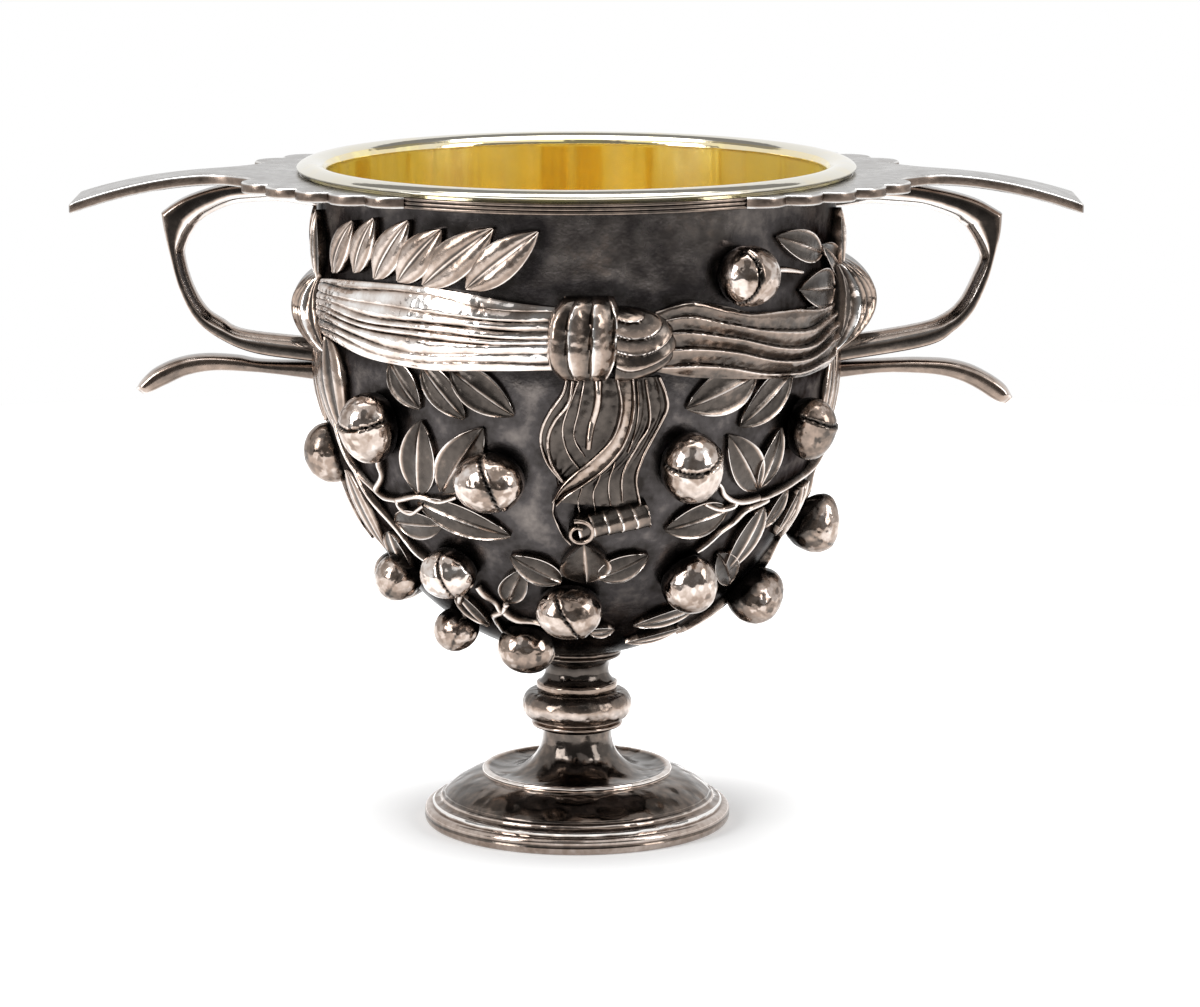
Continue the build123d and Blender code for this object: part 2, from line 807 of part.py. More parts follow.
# Ribbon, in lengths between the knots and the handles
left_end = KNOT_WRAPS[0][0]
right_end = KNOT_WRAPS[1][0]
front_left_ribbon = ribbon_quarter(-90, left_end, [front_knot, left_wrap])
front_right_ribbon = ribbon_quarter(right_end, 90, [front_knot, right_wrap])
back_right_ribbon = ribbon_quarter(90, 180 + left_end, [back_knot, right_wrap])
back_left_ribbon = ribbon_quarter(180 + right_end, 270, [back_knot, left_wrap])
write(front_left_ribbon, "front_left_ribbon")
write(front_right_ribbon, "front_right_ribbon")
write(back_right_ribbon, "back_right_ribbon")
write(back_left_ribbon, "back_left_ribbon")

# Ribbon tails under the knot, with a rolled end
with BuildPart() as front_tails:
    for path in TAIL_PATHS:
        for start, end in zip(path, path[1:]):
            seat, length = strap_plane(start, end)
            with BuildSketch(seat):
                SlotCenterToCenter(length, tail_width)
            extrude(amount=relief_reach, both=True)
    add(tail_layer, mode=Mode.INTERSECT)
    roll = belly_plane(SCROLL_TURN, SCROLL_DROP, 90, scroll_radius / 2)
    with BuildSketch(Plane(origin=roll.origin, x_dir=roll.z_dir, z_dir=roll.x_dir)):
        Circle(scroll_radius)
    extrude(amount=scroll_length / 2, both=True)
    add(bowl_core, mode=Mode.SUBTRACT)
    add(front_knot.part, mode=Mode.SUBTRACT)
    add(front_left_ribbon.part, mode=Mode.SUBTRACT)
    add(front_right_ribbon.part, mode=Mode.SUBTRACT)
write(front_tails, "front_ribbon_tails")
turned("back_ribbon_tails", front_tails)

# Fruit and leaf sprays
left_cloth = [front_tails, front_knot, front_left_ribbon, left_wrap]
right_cloth = [front_tails, front_knot, front_right_ribbon, right_wrap]
front_left_fruit = fruit_group(LEFT_FRUITS + LEFT_HANDLE_FRUITS, [], left_cloth)
front_right_fruit = fruit_group(RIGHT_FRUITS + RIGHT_HANDLE_FRUITS, RIGHT_WALL_FRUITS, right_cloth)
write(front_left_fruit, "front_left_fruit")
write(front_right_fruit, "front_right_fruit")
turned("back_right_fruit", fruit_group(LEFT_FRUITS, [], left_cloth))
turned("back_left_fruit", fruit_group(RIGHT_FRUITS, RIGHT_WALL_FRUITS, right_cloth))

both_fruit = [front_left_fruit, front_right_fruit]
front_left_spray = leaf_spray(LEFT_BELLY_LEAVES, LEFT_WALL_LEAVES, LEFT_TWIGS, left_cloth + both_fruit)
front_right_spray = leaf_spray(
    RIGHT_BELLY_LEAVES, RIGHT_WALL_LEAVES, RIGHT_TWIGS, right_cloth + both_fruit + [front_left_spray]
)
write(front_left_spray, "front_left_spray")
write(front_right_spray, "front_right_spray")
turned("back_right_spray", front_left_spray)
turned("back_left_spray", front_right_spray)
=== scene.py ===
"""Looks for a two-handled silver cup with a gilt liner. Sizes are in millimetres until a mesh is made."""

import math

import bmesh
import bpy
import numpy as np
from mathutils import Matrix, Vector
from mathutils.geometry import delaunay_2d_cdt
from mathutils.kdtree import KDTree


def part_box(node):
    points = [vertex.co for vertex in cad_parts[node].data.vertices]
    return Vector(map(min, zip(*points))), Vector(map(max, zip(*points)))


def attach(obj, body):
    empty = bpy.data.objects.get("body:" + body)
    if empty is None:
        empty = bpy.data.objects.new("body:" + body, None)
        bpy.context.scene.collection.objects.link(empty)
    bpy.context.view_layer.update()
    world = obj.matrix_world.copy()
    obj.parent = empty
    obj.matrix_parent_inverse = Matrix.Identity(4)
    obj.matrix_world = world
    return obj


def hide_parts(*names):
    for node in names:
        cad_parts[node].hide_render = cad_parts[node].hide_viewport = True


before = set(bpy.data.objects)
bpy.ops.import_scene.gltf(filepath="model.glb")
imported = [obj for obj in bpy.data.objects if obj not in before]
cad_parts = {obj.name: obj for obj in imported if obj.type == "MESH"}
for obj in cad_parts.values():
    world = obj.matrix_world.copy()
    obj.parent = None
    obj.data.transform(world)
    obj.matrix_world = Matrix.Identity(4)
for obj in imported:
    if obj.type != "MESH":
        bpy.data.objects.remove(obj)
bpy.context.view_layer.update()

MM = 0.001
RNG = np.random.default_rng(7)

# Driving sizes, read from the frame where it holds them
BOWL_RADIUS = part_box("outer_bowl")[1].x / MM
RIM_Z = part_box("outer_bowl")[1].z / MM
BASE_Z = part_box("outer_bowl")[0].z / MM
LIP_SEAT_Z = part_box("rim_moulding")[1].z / MM
MOULDING_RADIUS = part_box("rim_moulding")[1].x / MM
LIP_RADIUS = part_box("liner")[1].x / MM
LIP_TOP_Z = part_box("liner")[1].z / MM
LINER_FLOOR_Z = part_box("liner")[0].z / MM
PLATE_TIP_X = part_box("right_thumb_plate")[1].x / MM
FOOT_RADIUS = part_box("foot_wire")[1].x / MM
WALL_HEIGHT = 31.0
SHOULDER_Z = RIM_Z - WALL_HEIGHT
BELLY_DEPTH = 65.0
LINER_WALL = 0.8
LINER_CLEARANCE = 0.4
BOWL_WALL = 1.0
SINK = 0.3
LIP_CROWN_DROP = 0.03
ROD_HOLE = 2.6
HALF_TURN = np.array([-1, -1, 1])


# Geometry helpers


def spline(points, count):
    """A smooth curve through a few points, evenly stepped in each span."""
    points = np.asarray(points, float)
    ends = np.vstack([2 * points[0] - points[1], points, 2 * points[-1] - points[-2]])
    spot = np.linspace(0, len(points) - 1, count)
    span = np.minimum(spot.astype(int), len(points) - 2)
    t = (spot - span)[:, None]
    a, b, c, d = (ends[span + step] for step in range(4))
    return 0.5 * (2 * b + (c - a) * t + (2 * a - 5 * b + 4 * c - d) * t**2 + (3 * b - a - 3 * c + d) * t**3)


def smooth(low, high, value):
    t = unit((np.asarray(value, float) - low) / (high - low))
    return t * t * (3 - 2 * t)


def shares(count):
    return np.linspace(0, 1, count)


def unit(value):
    return np.clip(value, 0, 1)


def hump(share):
    return np.sin(math.pi * share)


def columns(*parts):
    return np.stack(np.broadcast_arrays(*parts), -1)


def bump(value, middle, width):
    return np.exp(-(((np.asarray(value, float) - middle) / width) ** 2))


def surface(turn, level, lift):
    """Points on the bowl: degrees round from the front, level above the shoulder in millimetres or below it
    in degrees of the belly's ellipse, and lift along the normal."""
    turn, level, lift = np.broadcast_arrays(*(np.asarray(v, float) for v in (turn, level, lift)))
    angle = np.radians(turn)
    drop = np.radians(np.clip(-level, 0, 90))
    out, down = np.cos(drop) / BOWL_RADIUS, np.sin(drop) / BELLY_DEPTH
    size = np.hypot(out, down)
    reach = BOWL_RADIUS * np.cos(drop) + lift * out / size
    height = SHOULDER_Z + np.clip(level, 0, None) - BELLY_DEPTH * np.sin(drop) - lift * down / size
    return columns(reach * np.sin(angle), -reach * np.cos(angle), height)


def scale_at(level):
    """Millimetres per degree of turn and per unit of level."""
    drop = np.radians(np.clip(-np.asarray(level, float), 0, 90))
    across = np.radians(1) * BOWL_RADIUS * np.cos(drop)
    along = np.radians(1) * np.hypot(BOWL_RADIUS * np.sin(drop), BELLY_DEPTH * np.cos(drop))
    return across, np.where(np.asarray(level) > 0, 1.0, along)


def beside(path, offsets):
    """Points moved sideways from a path on the bowl, in millimetres, to its left as it runs."""
    across, along = scale_at(path[:, 1])
    flat = np.gradient(path, axis=0) * columns(across, along)
    flat /= np.linalg.norm(flat, axis=1, keepdims=True) + 1e-9
    side = columns(-flat[:, 1] / across, flat[:, 0] / along)
    return path + side * np.asarray(offsets, float)[:, None]


def put(name, data):
    """A new object in the scene."""
    made = bpy.data.objects.new(name, data)
    bpy.context.scene.collection.objects.link(made)
    return made


class Shells:
    """Closed shells gathered into one mesh, with a polish from 0 to 1 at each point, which on some parts also
    holds painted shade and painted highlights.
    """

    def __init__(self):
        self.points, self.quads, self.tris, self.polish_and_shading, self.count = [], [], [], [], 0

    def add(self, points, polish_and_shading, quads=None, tris=None):
        self.points.append(points)
        self.polish_and_shading.append(np.broadcast_to(polish_and_shading, len(points)))
        if quads is not None:
            self.quads.append(quads + self.count)
        if tris is not None:
            self.tris.append(tris + self.count)
        self.count += len(points)

    def slab(self, top, base, polish_and_shading):
        """A grid of points closed by a grid under it."""
        rows, cols = top.shape[:2]
        upper = np.arange(rows * cols).reshape(rows, cols)
        lower = upper + rows * cols
        rim = np.concatenate([upper[:-1, 0], upper[-1, :-1], upper[:0:-1, -1], upper[0, :0:-1]])
        after = np.roll(rim, -1)
        quads = []
        for g in (upper, lower):
            quads.append(columns(g[:-1, :-1], g[1:, :-1], g[1:, 1:], g[:-1, 1:]).reshape(-1, 4))
        quads.append(columns(rim, after, after + rows * cols, rim + rows * cols))
        shade = np.concatenate([np.broadcast_to(polish_and_shading, (rows, cols)).ravel(), np.zeros(rows * cols)])
        self.add(np.concatenate([top.reshape(-1, 3), base.reshape(-1, 3)]), shade, np.concatenate(quads))

    def tube(self, rings, polish_and_shading):
        """Rings of points joined end to end, with closed ends."""
        rows, cols = rings.shape[:2]
        index = np.arange(rows * cols).reshape(rows, cols)
        after = np.roll(index, -1, axis=1)
        quads = columns(index[:-1], after[:-1], after[1:], index[1:]).reshape(-1, 4)
        ends = np.stack([rings[0].mean(0), rings[-1].mean(0)])
        first, last = rows * cols, rows * cols + 1
        tris = [columns(first, after[0], index[0]), columns(last, index[-1], after[-1])]
        shade = np.concatenate([np.broadcast_to(polish_and_shading, (rows, cols)).ravel(), [0.3, 0.3]])
        self.add(np.concatenate([rings.reshape(-1, 3), ends]), shade, quads, np.concatenate(tris))

    def strip(self, left, right, across, lift, polish_and_shading):
        """A strip on the bowl between two edges, lifted by a grid of heights."""
        share = across[:, None]
        place = left[:, None] * (1 - share) + right[:, None] * share
        top = surface(place[..., 0], place[..., 1], lift)
        base = surface(place[..., 0], place[..., 1], -SINK)
        self.slab(top, base, polish_and_shading)

    def build(self, name, metal, node, body="cup", half_turn=False, crease=50):
        """Makes the mesh and puts it on its body, in place of a node."""
        points = np.concatenate(self.points) * MM
        if half_turn:
            points = points * HALF_TURN
        mesh = bpy.data.meshes.new(name)
        faces = [face for rows in self.quads + self.tris for face in rows.tolist()]
        mesh.from_pydata(points.tolist(), [], faces)
        layer = mesh.attributes.new("polish_and_shading", "FLOAT", "POINT")
        layer.data.foreach_set("value", np.concatenate(self.polish_and_shading).astype(np.float32))
        mesh.shade_smooth()
        mesh.validate()
        shell = bmesh.new()
        shell.from_mesh(mesh)
        bmesh.ops.recalc_face_normals(shell, faces=shell.faces)
        shell.to_mesh(mesh)
        shell.free()
        mesh.set_sharp_from_angle(angle=math.radians(crease))
        material, slot = metal
        mesh.materials.append(material)
        piece = put(name, mesh)
        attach(piece, body)
        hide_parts(node)


def lathe(profile, steps=256):
    """A ring of sections round the cup's axis from closed profile rows of radius, height and polish."""
    profile = np.asarray(profile, float)
    angle = np.linspace(0, 2 * math.pi, steps, endpoint=False)
    x, y = np.outer(np.cos(angle), profile[:, 0]), np.outer(np.sin(angle), profile[:, 0])
    points = columns(x, y, profile[:, 1])
    index = np.arange(steps * len(profile)).reshape(steps, len(profile))
    around, along = np.roll(index, -1, axis=0), np.roll(index, -1, axis=1)
    quads = columns(index, around, np.roll(around, -1, axis=1), along).reshape(-1, 4)
    made = Shells()
    made.add(points.reshape(-1, 3), np.tile(profile[:, 2], steps), quads)
    return made


def arc(start, middle, end, count, polish_and_shading):
    """Rows of a profile along the circle through three points."""
    a, b, c = (complex(*point) for point in (start, middle, end))
    share = (c - a) / (b - a)
    centre = a + (b - a) * (share - abs(share) ** 2) / (2j * share.imag)
    first, second = (np.angle((point - centre) / (a - centre)) % (2 * math.pi) for point in (b, c))
    sweep = second if first < second else second - 2 * math.pi
    spots = centre + (a - centre) * np.exp(1j * sweep * shares(count))
    return [(spot.real, spot.imag, polish_and_shading) for spot in spots]


# Materials


class Nodes:
    """A short way to write the nodes of a material or world."""

    def __init__(self, owner, shader="Principled BSDF"):
        owner.use_nodes = True
        self.owner = owner
        self.tree = owner.node_tree
        self.shader = self.tree.nodes[shader]

    def new(self, kind, links=None, **settings):
        node = self.tree.nodes.new(kind)
        for key, value in settings.items():
            setattr(node, key, value)
        self.fill(node, links or {})
        return node

    def fill(self, node, links):
        """Feeds a node's inputs from sockets or with plain values."""
        for key, value in links.items():
            if isinstance(value, bpy.types.NodeSocket):
                self.tree.links.new(value, node.inputs[key])
            else:
                node.inputs[key].default_value = value

    def place(self):
        return self.new("ShaderNodeNewGeometry").outputs["Position"]

    def polish_and_shading(self):
        return self.new("ShaderNodeAttribute", attribute_name="polish_and_shading").outputs["Fac"]

    def math(self, operation, first, second, clamp=False):
        links = {0: first, 1: second}
        return self.new("ShaderNodeMath", links, operation=operation, use_clamp=clamp).outputs[0]

    def noise(self, scale, detail, where):
        links = {"Scale": scale, "Detail": detail, "Vector": where}
        return self.new("ShaderNodeTexNoise", links).outputs["Fac"]

    def ramp(self, factor, stops):
        node = self.new("ShaderNodeValToRGB", {"Fac": factor})
        while len(node.color_ramp.elements) < len(stops):
            node.color_ramp.elements.new(0.5)
        for element, (place, colour) in zip(node.color_ramp.elements, stops):
            element.position = place
            element.color = (*colour, 1)
        return node.outputs["Color"]

    def span(self, value, low, high, start=0.0, end=1.0):
        links = {"Value": value, "From Min": start, "From Max": end, "To Min": low, "To Max": high}
        return self.new("ShaderNodeMapRange", links).outputs["Result"]

    def seen_directly(self):
        """1 for camera, glossy and transmission rays, and 0 for the rays that light the object."""
        path = self.new("ShaderNodeLightPath").outputs
        total = path["Is Camera Ray"]
        for name in ("Is Glossy Ray", "Is Transmission Ray"):
            total = self.math("MAXIMUM", total, path[name])
        return total


BLACK_OXIDE = (0.020, 0.0175, 0.016)
BROWN_OXIDE = (0.085, 0.072, 0.063)
COPPER_GREY = (0.28, 0.215, 0.175)
WARM_SILVER = (0.58, 0.50, 0.45)
BRIGHT_SILVER = (0.88, 0.86, 0.84)
SATIN_GREY = (0.37, 0.36, 0.35)
GREY_OXIDE = (0.056, 0.0505, 0.050)
PALE_OXIDE = (0.15, 0.132, 0.122)
OXIDE_STOPS = [
    (0.0, BLACK_OXIDE), (0.28, BROWN_OXIDE), (0.52, COPPER_GREY), (0.74, WARM_SILVER),
    (1.0, BRIGHT_SILVER),
]
GROUND_STOPS = [
    (0.0, BLACK_OXIDE), (0.2, GREY_OXIDE), (0.4, PALE_OXIDE), (0.6, COPPER_GREY),
    (1.0, WARM_SILVER),
]
SATIN_STOPS = [(0.0, BLACK_OXIDE), (0.28, COPPER_GREY), (0.6, SATIN_GREY), (1.0, BRIGHT_SILVER)]


def silver(
    name, slot, lift=0.0, hammer=0.0, hammer_scale=420.0, rough=(0.36, 0.16), patch=0.12, grit=0.12,
    stops=OXIDE_STOPS, glance=1.0,
):
    """Oxidised silver and its slot: dark in the hollows, coppery on slopes and bright where polish is high.
    On some parts that polish also holds painted shade and painted highlights.
    Glance is how much it mirrors at a low angle."""
    n = Nodes(bpy.data.materials.new(name))
    place = n.place()
    cloud = n.span(n.noise(90.0, 5.0, place), lift - patch, lift + patch, 0.25, 0.75)
    grain = n.span(n.noise(700.0, 3.0, place), -0.07, 0.07, 0.25, 0.75)
    # Base colour from oxide and wear, plus the painted shade and painted highlights that some parts carry in
    # their polish.
    wear_and_shading = n.math("ADD", n.polish_and_shading(), n.math("ADD", cloud, grain), clamp=True)
    streak = n.span(n.noise(260.0, 2.0, place), -0.07, 0.07, 0.25, 0.75)
    fine = n.noise(1500.0, 2.0, place)
    bumped = n.new("ShaderNodeBump", {"Height": fine, "Strength": grit, "Distance": 0.0002})
    if hammer:
        cells = n.new("ShaderNodeTexVoronoi", {"Vector": place, "Scale": hammer_scale}, feature="SMOOTH_F1")
        links = {"Height": cells.outputs["Distance"], "Strength": hammer, "Distance": 0.0009}
        links["Normal"] = bumped.outputs["Normal"]
        bumped = n.new("ShaderNodeBump", links)
    looks = {"Base Color": n.ramp(wear_and_shading, stops), "Metallic": 1.0}
    looks["Specular Tint"] = (glance, glance, glance, 1)
    looks["Roughness"] = n.math("ADD", n.span(wear_and_shading, *rough), streak, clamp=True)
    looks["Normal"] = bumped.outputs["Normal"]
    n.fill(n.shader, looks)
    return n.owner, slot


def gilding():
    """Polished gold and its slot: paler on the lip and deeper in the bowl, with upright ripples from the
    raising hammer in its bump. The same ripples are painted into its colour as light and deep streaks of
    reflection."""
    n = Nodes(bpy.data.materials.new("gilt"))
    place = n.place()
    polish_and_shading = n.polish_and_shading()
    stretch = n.new("ShaderNodeVectorMath", {0: place, 1: (110.0, 110.0, 9.0)}, operation="MULTIPLY")
    ripple = n.noise(1.0, 3.0, stretch.outputs[0])
    # Painted reflection: the ripples lighten and deepen the colour in upright streaks.
    tone_and_painted_streaks = n.math("ADD", polish_and_shading, n.span(ripple, -0.13, 0.2, 0.38, 0.64), clamp=True)
    stops = [
        (0.0, (0.84, 0.58, 0.08)),
        (0.1, (1.0, 0.86, 0.26)),
        (0.3, (1.0, 0.90, 0.42)),
        (0.5, (0.84, 0.72, 0.44)),
        (1.0, (0.74, 0.71, 0.62)),
    ]
    looks = {"Base Color": n.ramp(tone_and_painted_streaks, stops), "Metallic": n.span(polish_and_shading, 0.82, 1.0, 0.1, 0.6)}
    worn = n.span(n.noise(150.0, 3.0, place), 0.1, 0.26)
    looks["Roughness"] = n.math("MULTIPLY", worn, n.span(polish_and_shading, 1.0, 0.45, 0.1, 0.6))
    depth = n.span(polish_and_shading, 0.8, 0.06, 0.1, 0.6)
    bumped = n.new("ShaderNodeBump", {"Height": ripple, "Strength": depth, "Distance": 0.0012})
    looks["Normal"] = bumped.outputs["Normal"]
    n.fill(n.shader, looks)
    return n.owner, "gilt"


GROUND = silver(
    "oxidised_ground", "oxidised_silver", lift=0.05, hammer=0.13, hammer_scale=260.0, rough=(0.26, 0.16),
    stops=GROUND_STOPS, glance=0.36,
)
FOOT_METAL = silver(
    "oxidised_foot", "oxidised_silver", lift=0.21, hammer=0.42, hammer_scale=300.0, rough=(0.15, 0.1),
    grit=0.06,
)
KNOP = silver(
    "hammered_knop", "oxidised_silver", hammer=0.3, hammer_scale=620.0, rough=(0.3, 0.14), patch=0.16
)
RELIEF = silver(
    "worn_relief", "worn_silver", lift=0.04, hammer=0.10, hammer_scale=700.0, rough=(0.3, 0.18), patch=0.14
)
FRUIT = silver(
    "polished_fruit", "bright_silver", hammer=0.18, hammer_scale=700.0, rough=(0.24, 0.08), patch=0.2,
    grit=0.06,
)
RIBBON = silver(
    "polished_ribbon", "bright_silver", lift=0.04, hammer=0.2, hammer_scale=620.0, rough=(0.28, 0.13),
    patch=0.1,
)
HANDLE = silver("worn_handle", "worn_silver", lift=0.04, rough=(0.2, 0.11), patch=0.10, grit=0.03)
PLATE = silver("satin_plate", "satin_silver", rough=(0.34, 0.28), patch=0.06, stops=SATIN_STOPS)
GILT = gilding()
PLAIN = silver("plain_metal", "rod_metal", lift=0.5, rough=(0.4, 0.3))


# Foot and stem


def build_foot():
    wire_in = FOOT_RADIUS - 1.6
    foot = [(wire_in, 0.0, 0.3), (wire_in, 3.4, 0.3), (wire_in, 4.0, 0.85), (wire_in - 0.3, 4.3, 0.8)]
    foot += arc((wire_in - 0.5, 4.35), (wire_in - 1.2, 4.5), (wire_in - 1.6, 4.95), 6, 0.18)
    foot += [(wire_in - 1.65, 5.1, 0.5), (wire_in - 1.85, 5.3, 0.55)]
    foot += arc((wire_in - 2.1, 5.35), (wire_in - 2.5, 5.6), (wire_in - 2.6, 6.0), 5, 0.1)
    foot += arc((wire_in - 3.0, 6.4), (22.8, 8.9), (19.3, 9.95), 18, 0.1)
    foot += arc((19.1, 10.1), (19.35, 10.7), (18.7, 11.05), 7, 0.6)
    foot += [(18.2, 11.0, 0.35), (17.8, 10.7, 0.1)]
    foot += arc((17.4, 10.55), (10.6, 11.5), (7.05, 17.6), 26, 0.1)
    foot += [(7.0, 18.4, 0.1), (7.0, 19.0, 0.1), (ROD_HOLE, 19.0, 0), (ROD_HOLE, 8.8, 0), (8.0, 8.8, 0)]
    foot += [(16.2, 8.6, 0), (25.6, 3.3, 0), (wire_in - 1.4, 2.8, 0), (wire_in - 1.4, 0.0, 0)]
    lathe(foot).build("foot_body", FOOT_METAL, "foot", crease=40)
    wire = [(wire_in, 3.4, 0.4), (wire_in, 0.0, 0.2)]
    wire += arc((FOOT_RADIUS - 0.8, 0.0), (FOOT_RADIUS - 0.15, 0.5), (FOOT_RADIUS, 1.3), 6, 0.55)
    wire += arc((FOOT_RADIUS, 1.5), (FOOT_RADIUS - 0.15, 1.75), (FOOT_RADIUS, 2.0), 4, 0.3)
    wire += arc((FOOT_RADIUS, 2.1), (FOOT_RADIUS - 0.2, 3.0), (FOOT_RADIUS - 0.8, 3.4), 6, 0.6)
    lathe(wire).build("foot_edge_wire", HANDLE, "foot_wire", crease=60)


def build_stem():
    nodes = ("lower_collar", "stem_knop", "upper_collar", "seat_ring")
    low, knop, upper, seat = (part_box(node)[0].z / MM for node in nodes)
    collar = [(ROD_HOLE, knop, 0), (ROD_HOLE, low, 0), (7.2, low, 0.1)]
    collar += arc((7.3, low), (7.9, low + 0.5), (8.7, low + 0.75), 6, 0.15)
    collar += arc((8.9, low + 0.75), (9.3, low + 1.1), (9.1, low + 1.5), 6, 0.38)
    collar += arc((8.7, low + 1.6), (8.5, low + 1.85), (9.0, knop), 5, 0.25)
    lathe(collar).build("lower_stem_collar", FOOT_METAL, "lower_collar", crease=60)
    bead = [(ROD_HOLE, upper, 0), (ROD_HOLE, knop, 0)]
    for t in np.linspace(0.0, math.pi, 25):
        shine = 0.3 + 0.4 * bump(t, 1.2, 0.6)
        bead.append((8.6 + 2.6 * math.sin(t) ** 0.8, (knop + upper) / 2 - 2.9 * math.cos(t), shine))
    lathe(bead).build("hammered_knop", KNOP, "stem_knop", crease=60)
    neck = [(ROD_HOLE, seat, 0), (ROD_HOLE, upper, 0), (8.0, upper, 0.1), (8.15, upper + 0.3, 0.3)]
    neck += [(8.3, upper + 1.4, 0.3), (8.2, upper + 1.8, 0.34), (7.9, upper + 2.0, 0.3)]
    neck += arc((7.7, upper + 2.05), (6.5, upper + 4.2), (7.6, seat - 0.4), 18, 0.04)
    neck += [(8.1, seat, 0.2)]
    lathe(neck).build("upper_stem_collar", FOOT_METAL, "upper_collar", crease=60)
    ring = [(ROD_HOLE, BASE_Z, 0), (ROD_HOLE, seat, 0), (8.4, seat, 0.1)]
    ring += arc((8.6, seat + 0.1), (9.0, seat + 0.45), (8.6, seat + 0.8), 6, 0.12)
    ring += arc((8.8, seat + 0.9), (9.3, seat + 1.35), (9.1, BASE_Z), 6, 0.12)
    lathe(ring).build("bowl_seat_ring", FOOT_METAL, "seat_ring", crease=60)


# Bowl, moulding and liner


def belly_rows(radius, depth, low_angle, count, polish_and_shading):
    turns = np.radians(np.linspace(low_angle, 0, count))
    return [(radius * math.cos(t), SHOULDER_Z - depth * math.sin(t), polish_and_shading) for t in turns]


def build_bowl(relief_points):
    """The shell, whose ground is darker close to the relief, where the chasing tools cut in, and darker
    towards the bottom of the belly as painted shade.
    """
    seat_angle = math.degrees(math.asin((SHOULDER_Z - BASE_Z) / BELLY_DEPTH))
    inside = BOWL_RADIUS - BOWL_WALL
    outer = belly_rows(BOWL_RADIUS, BELLY_DEPTH, seat_angle, 110, 0.25)
    inner = belly_rows(inside, BELLY_DEPTH - BOWL_WALL, seat_angle, 40, 0.0)
    profile = [(ROD_HOLE, outer[0][1], 0.0), *outer]
    profile += [(BOWL_RADIUS, z, 0.25) for z in np.linspace(SHOULDER_Z, RIM_Z, 46)[1:]]
    profile += [(inside, RIM_Z, 0.0), *inner[::-1], (ROD_HOLE, inner[0][1], 0.0)]
    shell = lathe(profile, 480)
    tree = KDTree(len(relief_points))
    for number, point in enumerate(relief_points):
        tree.insert(point, number)
    tree.balance()
    points = shell.points[0]
    near = np.array([tree.find(point)[2] for point in points])
    shade = shell.polish_and_shading[0].copy()
    # The first factor makes the ground darker close to the relief; the second is painted shade, darker
    # towards the bottom of the belly.
    worn = (0.05 + 0.23 * smooth(0.6, 4.5, near)) * (0.75 + 0.25 * smooth(55, 95, points[:, 2]))
    shade[shade > 0] = worn[shade > 0]
    shell.polish_and_shading[0] = shade
    shell.build("bowl_shell", GROUND, "outer_bowl", crease=60)


def build_rim():
    low, inner = RIM_Z, BOWL_RADIUS - BOWL_WALL
    step = (LIP_SEAT_Z - low) / 3
    ring = [(inner, LIP_SEAT_Z, 0.1), (inner, low, 0.1), (BOWL_RADIUS, low, 0.1)]
    ring += [(MOULDING_RADIUS - 0.7, low, 0.15)]
    for reed in range(3):
        z = low + reed * step
        valley = MOULDING_RADIUS - 0.5
        ring += arc((valley, z + 0.04), (MOULDING_RADIUS, z + step / 2), (valley, z + step - 0.04), 9, 0.0)
    ring = [(r, z, 0.05 + 0.3 * smooth(0.5, 0.05, MOULDING_RADIUS - r)) for r, z, _ in ring]
    lathe(ring).build("reeded_moulding", HANDLE, "rim_moulding", crease=40)
    outside = inner - LINER_CLEARANCE
    inside = outside - LINER_WALL
    depth = SHOULDER_Z - LINER_FLOOR_Z
    cup = belly_rows(outside, depth, 89.6, 60, 0.2)
    seat = LIP_SEAT_Z
    cup += [(outside, seat, 0.2), (BOWL_RADIUS + 1.4, seat, 0.5)]
    cup += [(BOWL_RADIUS + 1.4, seat + 0.6, 0.45), (LIP_RADIUS - 0.7, seat + 0.62, 0.6)]
    edge, crown = LIP_RADIUS, LIP_TOP_Z - LIP_CROWN_DROP
    cup += arc((edge - 0.35, seat + 0.68), (edge, seat + 1.0), (edge - 0.2, seat + 1.35), 6, 1.0)
    cup += arc((edge - 0.3, seat + 1.45), (edge - 2.4, crown), (inside + 0.9, seat + 1.5), 20, 1.0)
    cup += arc((inside + 0.75, seat + 1.3), (inside + 0.2, seat + 0.8), (inside, seat), 6, 0.5)
    cup += [(inside, z, 0.15) for z in np.linspace(seat - 0.6, SHOULDER_Z + 1, 14)]
    cup += belly_rows(inside, depth - LINER_WALL, 89.6, 60, 0.05)[::-1]
    lathe(cup, 320).build("gilt_liner", GILT, "liner", body="liner", crease=60)


# Relief: leaves and twigs, base to tip as turn and level, then a leaf's width, style and height

LEAF_ROWS = 26
LEAF_ACROSS = np.array(
    [0, 0.02, 0.05, 0.1, 0.18, 0.28, 0.38, 0.45, 0.48, 0.5, 0.52, 0.55, 0.62, 0.72, 0.82, 0.9, 0.95, 0.98, 1]
)


